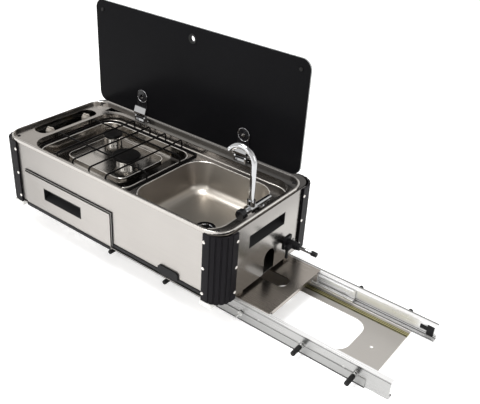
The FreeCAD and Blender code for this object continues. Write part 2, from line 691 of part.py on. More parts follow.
# Pressed top: deck sheet, rim bead, shallow recess, burner well and sink bowl
rim_left = left + s.rim_inset
rim_right = right - s.rim_inset
rim_front = front + s.rim_front_inset
rim_back = back - s.rim_back_inset
recess_low = (left + s.recess_left, front + s.recess_front)
recess_high = (right - s.recess_right, back - s.recess_back)
ledge_top = s.deck_top - s.recess_depth
slot_low = (left + s.slot_left, front + s.slot_front)
slot_high = (left + s.slot_left + s.slot_width, front + s.slot_front + s.slot_length)
body = start_body("deck_blank")
sketch = start_sketch(body, "deck_outline", "XY_Plane", deck_under)
draw_rounded(
    sketch, (left + s.deck_inset, rim_front), (right - s.deck_inset, skin_back), s.deck_round)
pad(body, sketch, s.deck_wall)
sketch = start_sketch(body, "deck_openings", "XY_Plane", s.deck_top)
draw_rounded(sketch, recess_low, recess_high, s.recess_round)
draw_rounded(sketch, slot_low, slot_high, s.slot_end)
draw_polygon(sketch, [
    (left + s.pocket_left, back - s.pocket_low), (left + s.pocket_side, back - s.pocket_high),
    (left + s.pocket_left, back - s.pocket_high),
])
pocket(body, sketch)
seam_x = recess_low[0] - s.seam_shift
seam = block(
    "deck_seam", (seam_x - s.seam_gap, front, deck_under - s.deck_wall),
    (seam_x, back, s.deck_top + s.deck_wall))
node("deck_sheet", cut("deck_sheet", body, seam))

body = start_body("rim_bead")
sketch = start_sketch(body, "rim_outline", "XY_Plane", s.deck_top)
draw_rounded(sketch, (rim_left, rim_front), (rim_right, rim_back), s.rim_round)
draw_rounded(
    sketch, (rim_left + s.rim_width, rim_front + s.rim_width),
    (rim_right - s.rim_width, rim_back - s.rim_width), s.rim_round - s.rim_width)
pad(body, sketch, s.rim_height)
soften(body, "rim_crown", s.rim_bead, flat_at(s.deck_top + s.rim_height))
node("rim_bead", body)


def pressed_pan(name, low, high, top, depth, corner, bend, openings=None, taper=None, raised=None):
    """A pressed sheet pan, open at the top, with its outside at the given corners."""
    pan = start_body(name)
    outline = start_sketch(pan, name + "_outline", "XY_Plane", top)
    draw_rounded(outline, low, high, corner)
    pad(pan, outline, depth, down=True, taper=taper)
    inside = start_sketch(pan, name + "_inside", "XY_Plane", top)
    draw_rounded(
        inside, tuple(n + s.deck_wall for n in low), tuple(n - s.deck_wall for n in high),
        corner - s.deck_wall)
    pocket(pan, inside, depth - s.deck_wall, taper=taper)
    if bend:
        soften(pan, name + "_inner_bend", bend - s.deck_wall, flat_at(top - depth + s.deck_wall))
        soften(pan, name + "_bend", bend, flat_at(top - depth))
    if raised:
        raised(pan, top - depth)
    if openings:
        holes = start_sketch(pan, name + "_openings", "XY_Plane", top)
        openings(holes)
        pocket(pan, holes)
    return node(name, pan)


well_low = (recess_low[0] + s.ledge_width, recess_low[1] + s.ledge_width)
well_high = (recess_low[0] + s.well_length, recess_high[1] - s.ledge_back)
bowl_low = (well_high[0] + s.ridge_width, recess_low[1] + s.ledge_width)
bowl_high = (right - s.bowl_right, recess_high[1] - s.ledge_back)
ledge_under = ledge_top - s.deck_wall


def recess_holes(holes):
    draw_rounded(holes, well_low, well_high, s.well_round)
    draw_rounded(holes, bowl_low, bowl_high, s.bowl_round)


big_shares = (0.575, 0.566)
small_shares = (0.194, 0.821)
drain_shares = (0.599, 0.415)
plateau_low_shares = (0.086, 0.280)
plateau_high_shares = (0.750, 0.920)


def spot(low, high, shares):
    """A place inside a rectangle, given as shares of its two sides."""
    return tuple(a + (b - a) * share for a, b, share in zip(low, high, shares))


big = spot(well_low, well_high, big_shares)
small = spot(well_low, well_high, small_shares)
drain = spot(bowl_low, bowl_high, drain_shares)


def burner_plateau(pan, bottom):
    """A low table pressed up out of the well's floor, open below."""
    low = spot(well_low, well_high, plateau_low_shares)
    high = spot(well_low, well_high, plateau_high_shares)
    table = start_sketch(pan, "plateau_outline", "XY_Plane", bottom + s.deck_wall)
    draw_rounded(table, low, high, s.plateau_round)
    pad(pan, table, s.plateau_height)
    soften(pan, "plateau_edge", s.plateau_bend, flat_at(bottom + s.deck_wall + s.plateau_height))
    under = start_sketch(pan, "plateau_under", "XY_Plane", bottom)
    draw_rounded(
        under, tuple(n + s.deck_wall for n in low), tuple(n - s.deck_wall for n in high),
        s.plateau_round - s.deck_wall)
    pocket(pan, under, s.plateau_height - s.deck_wall, up=True)


def well_holes(holes):
    for x, y in (big, small):
        draw_circle(holes, x, y, s.neck_radius + s.neck_gap)


def bowl_hole(holes):
    draw_circle(holes, drain[0], drain[1], s.drain_throat)


pressed_pan(
    "recess_tray", recess_low, recess_high, s.deck_top, s.recess_depth + s.deck_wall, s.recess_round,
    None, recess_holes)
pressed_pan(
    "burner_well", well_low, well_high, ledge_top, s.well_depth, s.well_round, s.well_bend, well_holes,
    raised=burner_plateau)
bowl_lean = s.bowl_depth * math.tan(math.radians(number(s.bowl_taper)))
bowl_bend = lesser(s.bowl_bend, bowl_high[0] - drain[0] - bowl_lean - s.drain_flange)
pressed_pan(
    "sink_bowl", bowl_low, bowl_high, ledge_top, s.bowl_depth, s.bowl_round, bowl_bend, bowl_hole,
    taper=s.bowl_taper)

# Deck screws in the four corners
screws = []
for count in range(4):
    x = (left + s.screw_side) if count % 2 else (right - s.screw_side)
    y = (front + s.screw_front) if count < 2 else (rim_back - s.screw_back)
    screws.append(rod("deck_screw_%d" % count, (x, y, s.deck_top), s.screw_radius, s.screw_height))
node("deck_screws", group("deck_screws", screws))

# Burners: flared cup on the plateau, black cap, spark plug beside it
plateau_top = ledge_top - s.well_depth + s.deck_wall + s.plateau_height
cup_foot_share = 0.70
cup_top_share = 0.86
plugs = []
for word, (x, y), cap in (("front", big, s.big_cap), ("rear", small, s.small_cap)):
    foot = cap * cup_foot_share
    throat = cap * cup_top_share
    node(word + "_burner_cup", revolve(word + "_burner_cup", [
        (ZERO, -s.neck_drop), (s.neck_radius, -s.neck_drop), (s.neck_radius, ZERO), (foot, ZERO),
        (foot, s.cup_height - s.cup_flare), (throat, s.cup_height), (ZERO, s.cup_height),
    ], (x, y, plateau_top)))
    node(word + "_burner_cap", revolve(word + "_burner_cap", [
        (ZERO, ZERO), (cap - s.cap_edge, ZERO), (cap, s.cap_edge), (cap, s.cap_height - s.cap_edge),
        (cap - s.cap_edge, s.cap_height), (ZERO, s.cap_height),
    ], (x, y, plateau_top + s.cup_height)))
    beside = x + cap + s.plug_gap
    plugs.append(rod(word + "_plug", (beside, y, plateau_top), s.plug_radius, s.plug_height))
node("spark_plugs", group("spark_plugs", plugs))

# Gas valves on a manifold, with pipes to the burners and to the inlet
knob_x = left + s.slot_left + s.slot_width / 2
valve_low = s.deck_top - s.valve_top - s.valve_height
half_valve = s.valve_side / 2
knob_ys = {"front": front + s.knob_front, "rear": front + s.knob_back}
pipe_level = plateau_top - s.neck_drop - s.gas_pipe
pipes = []
valves = []
for word, (x, y) in (("front", big), ("rear", small)):
    valve_y = knob_ys[word]
    lump = block(
        word + "_valve_block", (knob_x - half_valve, valve_y - half_valve, valve_low),
        (knob_x + half_valve, valve_y + half_valve, valve_low + s.valve_height))
    stem = rod(
        word + "_valve_stem", (knob_x, valve_y, valve_low + s.valve_height), s.stem_radius, s.stem_rise)
    valves.append(join(word + "_gas_valve", [lump, stem]))
    pipes.append(made(word + "_burner_pipe", tube_shape([
        (knob_x, valve_y, valve_low), (knob_x, valve_y, pipe_level), (x, y, pipe_level),
    ], s.gas_pipe, s.gas_bend)))
node("gas_valves", group("gas_valves", valves))
inlet_share = 0.527778
hose_side = hose_y + s.hose_width / 2
inlet_y = hose_side + (back - s.post_leg - hose_side) * inlet_share
manifold_x = knob_x - half_valve - s.manifold_radius
manifold_z = valve_low + s.valve_height / 2
feed_y = back - s.feed_back
pipes.append(made("gas_feed_pipe", tube_shape([
    (manifold_x, knob_ys["front"] - s.manifold_end, manifold_z), (manifold_x, feed_y, manifold_z),
    (skin_right - wall - s.gas_bend - s.manifold_radius, feed_y, manifold_z),
    (skin_right - wall - s.gas_bend - s.manifold_radius, feed_y, s.inlet_level),
    (skin_right - wall - s.gas_bend - s.manifold_radius, inlet_y, s.inlet_level),
    (skin_right - wall, inlet_y, s.inlet_level),
], s.manifold_radius, s.gas_bend)))
node("gas_pipes", group("gas_pipes", pipes))


def control_knob(name, place):
    """A turned knob with a blind bore for its stem and a grip wing on top."""
    bore = s.stem_radius + s.bore_gap
    knob = revolve(name, [
        (bore, ZERO), (s.knob_radius, ZERO), (s.knob_radius, s.knob_height - s.knob_wing),
        (s.knob_radius - s.knob_wing / 2, s.knob_height), (ZERO, s.knob_height),
        (ZERO, s.stem_rise), (bore, s.stem_rise),
    ], place)
    wing = start_sketch(knob, name + "_wing", "XY_Plane", s.knob_height)
    reach = s.knob_radius - s.knob_wing / 2
    draw_rounded(wing, (-reach, -(s.knob_wing / 2)), (reach, s.knob_wing / 2), s.knob_wing_round)
    pad(knob, wing, s.knob_wing_height)
    return node(name, knob)


for word in ("front", "rear"):
    control_knob(word + "_burner_knob", (knob_x, knob_ys[word], valve_low + s.valve_height + s.running_gap))

# Pot support: a wire frame on the ledge in two halves, raised fingers with bent ends, two cross wires
wire_z = ledge_top + s.wire_radius
frame_left = recess_low[0] + s.ledge_width / 2
frame_right = well_high[0] + s.ridge_width / 2
frame_front = recess_low[1] + s.ledge_width / 2
frame_back = recess_high[1] - s.ledge_width
frame_mid = (frame_left + frame_right) / 2
high_z = wire_z + s.wire_rise
bars = []
for x, bend in ((frame_right, s.wire_bend), (frame_left, s.recess_round - s.ledge_width / 2)):
    bars.append(tube_shape([
        (frame_mid, frame_front, wire_z), (x, frame_front, wire_z), (x, frame_back, wire_z),
        (frame_mid, frame_back, wire_z),
    ], s.wire_radius, bend))
finger_shares = (0.300, 0.478, 0.656, 0.832)
cross_shares = (0.303, 0.746)
for share in finger_shares:
    x = frame_left + (frame_right - frame_left) * share
    bars.append(tube_shape([
        (x, frame_front, wire_z), (x, frame_front, high_z), (x, frame_back, high_z), (x, frame_back, wire_z),
    ], s.finger_radius, s.wire_bend))
for share in cross_shares:
    y = frame_front + (frame_back - frame_front) * share
    low_z = high_z - s.cross_drop
    bars.append(tube_shape([
        (frame_left, y, wire_z), (frame_left, y, low_z), (frame_right, y, low_z), (frame_right, y, wire_z),
    ], s.finger_radius, s.wire_bend))
support = bars[0]
for bar in bars[1:]:
    support = support.fuse(bar)
node("pot_support", made("pot_support", support.removeSplitter()))

# Sink waste: flanged strainer, lock nut and an elbow towards the hose slot
bowl_inside = ledge_top - s.bowl_depth + s.deck_wall
body = revolve("sink_waste", [
    (ZERO, -s.strainer_wall), (s.drain_throat - s.drain_wall, -s.strainer_wall),
    (s.drain_throat - s.drain_wall, -s.drain_drop), (s.drain_throat, -s.drain_drop),
    (s.drain_throat, ZERO), (s.drain_flange, ZERO), (s.drain_flange - s.drain_lip, s.drain_lip),
    (s.drain_throat - s.drain_wall, s.drain_lip), (s.drain_throat - s.drain_wall, ZERO), (ZERO, ZERO),
], (drain[0], drain[1], bowl_inside))
sketch = start_sketch(body, "strainer_holes", "XY_Plane", ZERO)
draw_circle(sketch, ZERO, ZERO, s.strainer_hole)
for sixth in range(6):
    angle = math.radians(60 * sixth)
    draw_circle(sketch, s.strainer_ring * math.cos(angle), s.strainer_ring * math.sin(angle), s.strainer_hole)
pocket(body, sketch)
node("sink_waste", body)
nut = revolve("waste_nut", [
    (s.drain_throat, ZERO), (s.nut_radius, ZERO), (s.nut_radius, -s.nut_height),
    (s.drain_throat, -s.nut_height),
], (drain[0], drain[1], bowl_inside - s.deck_wall))
waste_top = bowl_inside - s.drain_drop
waste_share = 0.7
waste_end = spot(drain, (skin_right, hose_y), (waste_share, waste_share))
elbow = made("waste_pipe", tube_shape([
    (drain[0], drain[1], waste_top), (drain[0], drain[1], s.waste_level),
    (waste_end[0], waste_end[1], s.waste_level),
], s.waste_radius, s.waste_bend, s.waste_radius - s.drain_wall))
node("waste_elbow", group("waste_elbow", [nut, elbow]))

# Tap: fixed bar on two feet, folding spout around the bar, turning knob at its end
tap_x = right - s.tap_right
tap_z = ledge_top + s.tap_level
tap_y = front + s.tap_front
tap_end = tap_y + s.tap_length
collar_y = tap_y + s.collar_start
parts = [rod("tap_bar", (tap_x, tap_y, tap_z), s.bar_radius, s.tap_length, "Y")]
for count, y in enumerate((collar_y + s.collar_length + s.tap_foot_inset, tap_end - s.tap_foot_inset)):
    parts.append(rod("tap_foot_%d" % count, (tap_x, y, ledge_top), s.tap_foot, s.tap_level))
    pad_radius = s.tap_foot_pad
    parts.append(rod("tap_pad_%d" % count, (tap_x, y, ledge_top), pad_radius, s.tap_foot_pad_height))
parts.append(rod("tap_stem", (tap_x, tap_y, tap_z), s.tap_pin, s.tap_pin_length, "-Y"))
tail_y = tap_end - s.tap_foot_inset
tail = rod("tap_tail", (tap_x, tail_y, ledge_under), s.tail_radius, s.tail_length, "-Z")
node("tap_body", group("tap_body", [join("tap_bar_set", parts), tail]))
collar_mid = collar_y + s.collar_length / 2
bend_top = tap_z + s.spout_height
half_turn = math.radians(s.spout_turn.number / 2)
leg = s.spout_bend * math.tan(half_turn / 2)
start = (tap_x, collar_mid, tap_z + s.collar_radius - s.spout_radius / 2)
crown = (tap_x, collar_mid, bend_top + leg)
over = (crown[0] - leg * 2 * math.sin(half_turn), collar_mid, crown[2] + leg * 2 * math.cos(half_turn))
reach = leg + s.tip_height
tip_end = (
    over[0] - reach * math.sin(half_turn * 2), collar_mid, over[2] + reach * math.cos(half_turn * 2))
path = [start, crown, over, tip_end]
neck = tube_shape(path, s.spout_radius, s.spout_bend)
neck_bore = tube_shape(path, s.spout_bore, s.spout_bend)
collar_start = V(tap_x.number, collar_y.number, tap_z.number)
collar = Part.makeCylinder(s.collar_radius.number, s.collar_length.number, collar_start, V(0, 1, 0))
bore = Part.makeCylinder(
    (s.bar_radius + s.bore_gap).number, s.collar_length.number, collar_start, V(0, 1, 0))
ferrule = Part.makeCylinder(
    s.ferrule_radius.number, s.ferrule_height.number, V(tap_x.number, collar_mid.number, tap_z.number))
tip_way = V(math.sin(half_turn * 2), 0, -math.cos(half_turn * 2))
tip = Part.makeCylinder(
    s.tip_collar.number, s.tip_height.number, V(*[part.number for part in tip_end]), tip_way)
spout = collar.fuse(ferrule).fuse(neck).fuse(tip).cut(neck_bore).cut(bore)
node("tap_spout", made("tap_spout", spout))
pin_bore = s.tap_pin + s.bore_gap
node("tap_knob", revolve("tap_knob", [
    (pin_bore, ZERO), (s.tap_knob_neck, ZERO), (s.tap_knob_neck, s.tap_knob_step),
    (s.tap_knob_radius, s.tap_knob_step), (s.tap_knob_radius, s.tap_knob_length - s.tap_knob_step / 2),
    (s.tap_knob_radius - s.tap_knob_step / 2, s.tap_knob_length), (ZERO, s.tap_knob_length),
    (ZERO, s.tap_pin_length), (pin_bore, s.tap_pin_length),
], (tap_x, tap_y - s.running_gap, tap_z), "-Y"))

# Lid: glass sheet standing on two hinges at the back of the deck
hinge_y = back - s.hinge_back
hinge_z = s.deck_top + s.hinge_rise
lid_mid = (rim_left + rim_right) / 2
glass_y = hinge_y + s.lid_offset - s.lid_wall / 2
body = start_body("lid_glass", (lid_mid, glass_y + s.lid_wall, hinge_z + s.lid_start))
sketch = start_sketch(body, "lid_outline", "XZ_Plane")
draw_rounded(sketch, (-(s.lid_length / 2), ZERO), (s.lid_length / 2, s.lid_height), s.lid_round)
draw_circle(sketch, ZERO, s.lid_height - s.hole_drop, s.hole_radius)
pad(body, sketch, s.lid_wall)
node("lid_glass", body)
hole_z = hinge_z + s.lid_start + s.lid_height - s.hole_drop
ring = s.hole_radius - s.grommet_lip
grommet = revolve("finger_grommet", [
    (ring, -s.grommet_lip), (s.grommet_radius, -s.grommet_lip), (s.grommet_radius, ZERO),
    (s.hole_radius, ZERO), (s.hole_radius, s.lid_wall), (s.grommet_radius, s.lid_wall),
    (s.grommet_radius, s.lid_wall + s.grommet_lip), (ring, s.lid_wall + s.grommet_lip),
], (lid_mid, glass_y, hole_z), "Y")

hinge_bases = []
hinge_leaves = []
lid_screws = []
for side, word in ((-1, "left"), (1, "right")):
    x = lid_mid + s.hinge_spread * side
    half = s.knuckle_length / 2
    ears = []
    for way in (-1, 1):
        inner = x + (half + s.running_gap) * way
        outer = x + (half + s.running_gap + s.ear_wall) * way
        a, b = (outer, inner) if way < 0 else (inner, outer)
        ears.append(block(
            "%s_ear_%d" % (word, way + 1), (a, hinge_y - s.ear_radius, s.deck_top),
            (b, hinge_y + s.ear_radius, hinge_z)))
        ears.append(rod(
            "%s_ear_top_%d" % (word, way + 1), (a, hinge_y, hinge_z), s.ear_radius, s.ear_wall, "X"))
    span = half + s.running_gap + s.ear_wall
    ears.append(block(
        word + "_hinge_foot", (x - span, hinge_y - s.ear_radius, s.deck_top),
        (x + span, hinge_y + s.ear_foot, s.deck_top + s.ear_foot_height)))
    ears.append(rod(word + "_hinge_pin", (x - span, hinge_y, hinge_z), s.hinge_pin, span * 2, "X"))
    hinge_bases.append(join(word + "_hinge_base", ears))
    body = start_body(word + "_hinge_leaf", (x, glass_y, hinge_z))
    sketch = start_sketch(body, word + "_leaf_outline", "XZ_Plane")
    draw_rounded(
        sketch, (-(s.leaf_width / 2), s.leaf_neck), (s.leaf_width / 2, s.leaf_neck + s.leaf_height),
        s.leaf_round)
    pad(body, sketch, s.leaf_wall)
    plate = body
    neck_part = block(
        word + "_leaf_neck", (x - half, glass_y - s.leaf_wall, hinge_z),
        (x + half, glass_y, hinge_z + s.leaf_neck + s.leaf_width / 4))
    knuckle = rod(word + "_knuckle", (x - half, hinge_y, hinge_z), s.knuckle_radius, s.knuckle_length, "X")
    web = block(
        word + "_leaf_web", (x - half, hinge_y, hinge_z - s.knuckle_radius / 2),
        (x + half, glass_y, hinge_z + s.knuckle_radius))
    pin_hole = rod(
        word + "_pin_hole", (x - half, hinge_y, hinge_z), s.hinge_pin + s.bore_gap, s.knuckle_length, "X")
    leaf = join(word + "_leaf_set", [plate, neck_part, knuckle, web])
    hinge_leaves.append(cut(word + "_hinge_leaf_cut", leaf, pin_hole))
    leaf_face = glass_y - s.leaf_wall
    clip = start_body(word + "_lid_clip", (x - s.clip_shift - s.clip_width / 2, ZERO, hinge_z + s.clip_low))
    sketch = start_sketch(clip, word + "_clip_section", "YZ_Plane")
    draw_polygon(sketch, [
        (leaf_face - s.clip_deep, ZERO), (leaf_face, ZERO), (leaf_face, s.clip_tall),
        (leaf_face - s.clip_top, s.clip_tall), (leaf_face - s.clip_deep, s.clip_low),
    ])
    pad(clip, sketch, s.clip_width)
    lid_screws.append(clip)
    screw_z = hinge_z + s.leaf_neck + s.leaf_height - s.leaf_width / 2
    lid_screws.append(rod(
        word + "_lid_screw", (x, glass_y - s.leaf_wall, screw_z), s.leaf_screw, s.leaf_screw_height, "-Y"))
node("hinge_bases", group("hinge_bases", hinge_bases))
node("hinge_leaves", group("hinge_leaves", hinge_leaves))
node("lid_screws", group("lid_screws", lid_screws))
bumpers = []
for count, side in enumerate((-1, 1)):
    x = lid_mid + (s.lid_length / 2 - s.bumper_inset) * side
    z = hinge_z + s.lid_start + s.lid_height - s.bumper_inset
    bumpers.append(rod("bumper_%d" % count, (x, glass_y, z), s.bumper_radius, s.bumper_height, "-Y"))
node("lid_rubbers", group("lid_rubbers", [grommet] + bumpers))


def pull_cup(name, place, axis_turn):
    """A recessed grip: a lipped box, open to the front, with a sloping floor."""
    cup = start_body(name, place)
    cup.Placement = FreeCAD.Placement(cup.Placement.Base, FreeCAD.Rotation(V(0, 0, 1), axis_turn))
    outline = start_sketch(cup, name + "_outline", "XZ_Plane")
    draw_polygon(outline, [
        (ZERO, ZERO), (s.cup_width, ZERO), (s.cup_width, s.cup_tall), (ZERO, s.cup_tall)])
    pad(cup, outline, s.cup_deep, down=True)
    hollow = start_sketch(cup, name + "_hollow", "YZ_Plane", s.cup_wall)
    t = s.cup_wall
    draw_polygon(hollow, [
        (ZERO, t), (s.cup_deep - t, s.cup_slope), (s.cup_deep - t, s.cup_tall - t), (ZERO, s.cup_tall - t)])
    pocket(cup, hollow, s.cup_width - t * 2, up=True)
    return node(name, cup)


pull_cup("end_grip_cup", (skin_right, cup_y, s.end_cup_low), 90)

# Drawer: front, sheet tray, recessed grip and its own skirt; fixed runners below
front_face = front
drawer_back = skin_front - s.drawer_gap
drawer_right = drawer_x + s.drawer_width
grip_x = drawer_x + s.cup_left
grip_z = s.drawer_bottom + s.cup_low
slab = block(
    "drawer_slab", (drawer_x, front_face, s.drawer_bottom),
    (drawer_right, drawer_back, s.drawer_bottom + s.drawer_height))
grip_hole = block(
    "grip_hole", (grip_x, front_face - s.cup_lip, grip_z),
    (grip_x + s.cup_width, drawer_back + s.cup_lip, grip_z + s.cup_tall))
node("drawer_front", cut("drawer_front", slab, grip_hole))
pull_cup("drawer_grip_cup", (grip_x, front_face, grip_z), 0)
tray_low = (drawer_x + s.tray_inset, drawer_back, s.tray_bottom)
tray_high = (drawer_right - s.tray_inset, drawer_back + s.tray_depth, s.tray_bottom + s.tray_height)
t = s.tray_wall
shell = block("tray_outside", tray_low, tray_high)
room = block(
    "tray_inside", (tray_low[0] + t, tray_low[1] + t, tray_low[2] + t),
    (tray_high[0] - t, tray_high[1] - t, tray_high[2] + t))
gap = block(
    "tray_grip_gap", (grip_x, tray_low[1] - t, grip_z),
    (grip_x + s.cup_width, tray_low[1] + t * 2, grip_z + s.cup_tall))
node("drawer_tray", cut("drawer_tray", shell, join("tray_tools", [room, gap])))
node("drawer_skirt", block(
    "drawer_skirt", (drawer_x, front_face - s.skirt_wall, s.drawer_bottom),
    (drawer_right, front_face, s.drawer_bottom + s.skirt_tall)))
runners = []
for count, x in enumerate((tray_low[0] + s.runner_inset, tray_high[0] - s.runner_inset - s.runner_width)):
    runners.append(block(
        "runner_%d" % count, (x, skin_front + wall, floor_top),
        (x + s.runner_width, tray_high[1] + s.runner_end, s.tray_bottom - s.running_gap)))
node("drawer_runners", group("drawer_runners", runners))

# Skirt along the rest of the front, with a plain raised boss
skirt = block(
    "skirt_strip", (drawer_right + s.seal_gap, skin_front - s.skirt_wall, s.skirt_level),
    (right - s.skirt_end, skin_front, s.skirt_level + s.skirt_tall))
body = start_body("skirt_boss", (right - s.badge_right - s.badge_width, skin_front, s.skirt_level))
sketch = start_sketch(body, "boss_outline", "XZ_Plane")
draw_rounded(sketch, (ZERO, ZERO), (s.badge_width, s.badge_tall), s.badge_round)
pad(body, sketch, s.badge_wall)
seal_z = s.drawer_bottom + s.drawer_height + s.seal_gap
seal_x = drawer_right + s.seal_gap
seal_top = block(
    "seal_top", (drawer_x, skin_front - s.seal_wall, seal_z),
    (seal_x + s.seal_side, skin_front, seal_z + s.seal_tall))
seal_right = block(
    "seal_right", (seal_x, skin_front - s.seal_wall, s.skirt_level),
    (seal_x + s.seal_side, skin_front, seal_z + s.seal_tall))
node("front_skirt", join("front_skirt", [skirt, body, seal_top, seal_right]))

# Gas inlet on the right end: wall plate, valve body, lever, pipe and cap
plate_half_side = s.inlet_plate / 2
plate_x = skin_right + s.inlet_plate_wall
body_end = plate_x + s.inlet_length
parts = [
    block(
        "inlet_wall_plate", (skin_right, inlet_y - plate_half_side, s.inlet_level - plate_half_side),
        (plate_x, inlet_y + plate_half_side, s.inlet_level + plate_half_side)),
    rod("inlet_barrel", (plate_x, inlet_y, s.inlet_level), s.inlet_body, s.inlet_length, "X"),
    rod("inlet_nut", (body_end, inlet_y, s.inlet_level), s.inlet_nut, s.inlet_nut_length, "X"),
]
lever_x = plate_x + s.inlet_length / 2
hub_y = inlet_y - s.inlet_body - s.lever_length / 2
parts.append(rod("inlet_boss", (lever_x, inlet_y, s.inlet_level), s.lever_hub, inlet_y - hub_y, "-Y"))
parts.append(rod("inlet_stem", (lever_x, hub_y, s.inlet_level), s.lever_stem, s.lever_hub_length, "-Y"))
node("inlet_valve", join("inlet_valve", parts))
pipe_x = body_end + s.inlet_nut_length
pipe = rod("inlet_tube", (pipe_x, inlet_y, s.inlet_level), s.inlet_pipe, s.inlet_pipe_length, "X")
cap_x = pipe_x + s.inlet_pipe_length - s.inlet_cap_cover
cap = rod("inlet_cap_out", (cap_x, inlet_y, s.inlet_level), s.inlet_cap, s.inlet_cap_length, "X")
cap_bore = rod("inlet_cap_in", (cap_x, inlet_y, s.inlet_level), s.inlet_pipe, s.inlet_cap_cover, "X")
node("inlet_cap", cut("inlet_cap", cap, cap_bore))
bleed = rod(
    "bleed_screw", (lever_x, inlet_y, s.inlet_level + s.inlet_body), s.bleed_radius, s.bleed_height)
node("inlet_pipe", group("inlet_pipe", [pipe, bleed]))
hub_face = hub_y - s.running_gap
hub = rod("lever_hub_round", (lever_x, hub_face, s.inlet_level), s.lever_hub, s.lever_length, "-Y")
arm = block(
    "lever_arm_bar",
    (lever_x - s.lever_wall / 2, hub_face - s.lever_length, s.inlet_level - s.lever_arm),
    (lever_x + s.lever_wall / 2, hub_face - s.lever_length + s.lever_wall, s.inlet_level))
lever_bore = rod(
    "lever_bore", (lever_x, hub_face, s.inlet_level), s.lever_stem + s.bore_gap, s.lever_hub_length, "-Y")
node("inlet_lever", cut("inlet_lever", join("lever_set", [hub, arm]), lever_bore))

doc.recompute()
faults = []
for thing in doc.Objects:
    if "Invalid" in thing.State or "Error" in thing.State:
        faults.append(thing.Name + " " + str(thing.State))
for label, thing in nodes.items():
    if thing.Shape.isNull() or not thing.Shape.isValid() or not thing.Shape.Solids:
        faults.append(label + " has no valid solid")
if faults:
    raise RuntimeError("; ".join(faults))
os.makedirs("parts", exist_ok=True)
for label, thing in nodes.items():
    thing.Shape.exportStep("parts/%s.step" % label)
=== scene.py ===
# %% [markdown]
# # A slide-out camp kitchen, dressed in Blender
# The solid model already has every moving piece in its place. This lesson puts finishes on those
# solids and adds the small things that a solid model leaves out. Everything is in metres, and the
# model's own frame is kept: X along the slides, -Y towards the drawer, Z up.

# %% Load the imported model
import math
import bmesh
import bpy
from mathutils import Matrix, Vector


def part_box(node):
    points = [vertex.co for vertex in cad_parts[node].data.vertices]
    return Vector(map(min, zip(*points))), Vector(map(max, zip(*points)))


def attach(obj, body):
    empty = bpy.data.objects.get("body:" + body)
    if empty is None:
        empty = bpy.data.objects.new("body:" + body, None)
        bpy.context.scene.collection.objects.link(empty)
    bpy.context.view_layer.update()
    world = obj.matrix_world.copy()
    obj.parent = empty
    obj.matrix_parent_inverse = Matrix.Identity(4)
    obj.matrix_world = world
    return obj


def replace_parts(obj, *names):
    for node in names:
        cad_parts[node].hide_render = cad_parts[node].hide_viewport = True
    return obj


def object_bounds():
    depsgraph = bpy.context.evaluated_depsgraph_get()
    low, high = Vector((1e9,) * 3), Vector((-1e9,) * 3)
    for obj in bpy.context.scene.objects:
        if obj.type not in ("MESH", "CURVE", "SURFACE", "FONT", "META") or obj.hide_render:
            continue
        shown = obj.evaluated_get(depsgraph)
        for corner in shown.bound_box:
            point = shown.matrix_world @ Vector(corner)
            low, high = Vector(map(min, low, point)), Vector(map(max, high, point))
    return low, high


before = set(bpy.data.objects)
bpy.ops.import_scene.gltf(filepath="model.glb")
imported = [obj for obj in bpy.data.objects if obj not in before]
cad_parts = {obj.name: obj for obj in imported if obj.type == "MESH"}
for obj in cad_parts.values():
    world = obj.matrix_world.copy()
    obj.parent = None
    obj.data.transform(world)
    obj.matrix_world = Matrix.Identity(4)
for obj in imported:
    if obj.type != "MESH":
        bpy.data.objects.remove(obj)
cad_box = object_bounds()
scene = bpy.context.scene

# %% [markdown]
# The photograph was taken from the right front, above the rim. The twelve corner rivets gave the
# camera's place and lens, so the render can be laid over the photograph. The image is 480 pixels
# wide, and a focal length in pixels becomes millimetres through the sensor's width.

# %% Camera
IMAGE_WIDTH = 480
FOCAL_PIXELS = 680.93
SENSOR_WIDTH = 36
CAMERA_PLACE = (0.7989, -1.2153, 1.1294)
camera_data = bpy.data.cameras.new("camera")
camera_data.sensor_fit = "HORIZONTAL"
camera_data.sensor_width = SENSOR_WIDTH
camera_data.lens = FOCAL_PIXELS / IMAGE_WIDTH * SENSOR_WIDTH
camera = bpy.data.objects.new("camera", camera_data)
scene.collection.objects.link(camera)
to_right = Vector((0.79154, 0.60850, 0.05652))
to_front = Vector((-0.50048, 0.69853, -0.51145)).normalized()
to_right = (to_right - to_front * to_right.dot(to_front)).normalized()
to_top = to_right.cross(to_front)
turn = Matrix((to_right, to_top, -to_front)).transposed().to_4x4()
camera.matrix_world = Matrix.Translation(CAMERA_PLACE) @ turn
scene.camera = camera
print("lens:", round(camera_data.lens, 2))

# %% [markdown]
# ## Writing node graphs as Python
# Materials, the world and geometry patterns are all graphs of nodes. One small class wraps an output
# socket, so that `a * 0.5 + b` adds the Math nodes by itself. A second class adds any other node from
# its type, its settings and the values of its sockets, and every kind of graph shares it.


# %% Node helpers
class Value:
    def __init__(self, graph, socket):
        self.graph = graph
        self.socket = socket

    def maths(self, operation, first, second=0.0):
        kind = "ShaderNodeMath"
        return self.graph.add(kind, {"operation": operation}, {0: first, 1: second})

    def __add__(self, other):
        return self.maths("ADD", self, other)

    def __radd__(self, other):
        return self.maths("ADD", other, self)

    def __sub__(self, other):
        return self.maths("SUBTRACT", self, other)

    def __rsub__(self, other):
        return self.maths("SUBTRACT", other, self)

    def __mul__(self, other):
        return self.maths("MULTIPLY", self, other)

    def __rmul__(self, other):
        return self.maths("MULTIPLY", other, self)

    def __truediv__(self, other):
        return self.maths("DIVIDE", self, other)

    def __gt__(self, other):
        return self.maths("GREATER_THAN", self, other)

    def __lt__(self, other):
        return self.maths("LESS_THAN", self, other)

    def __abs__(self):
        return self.maths("ABSOLUTE", self)


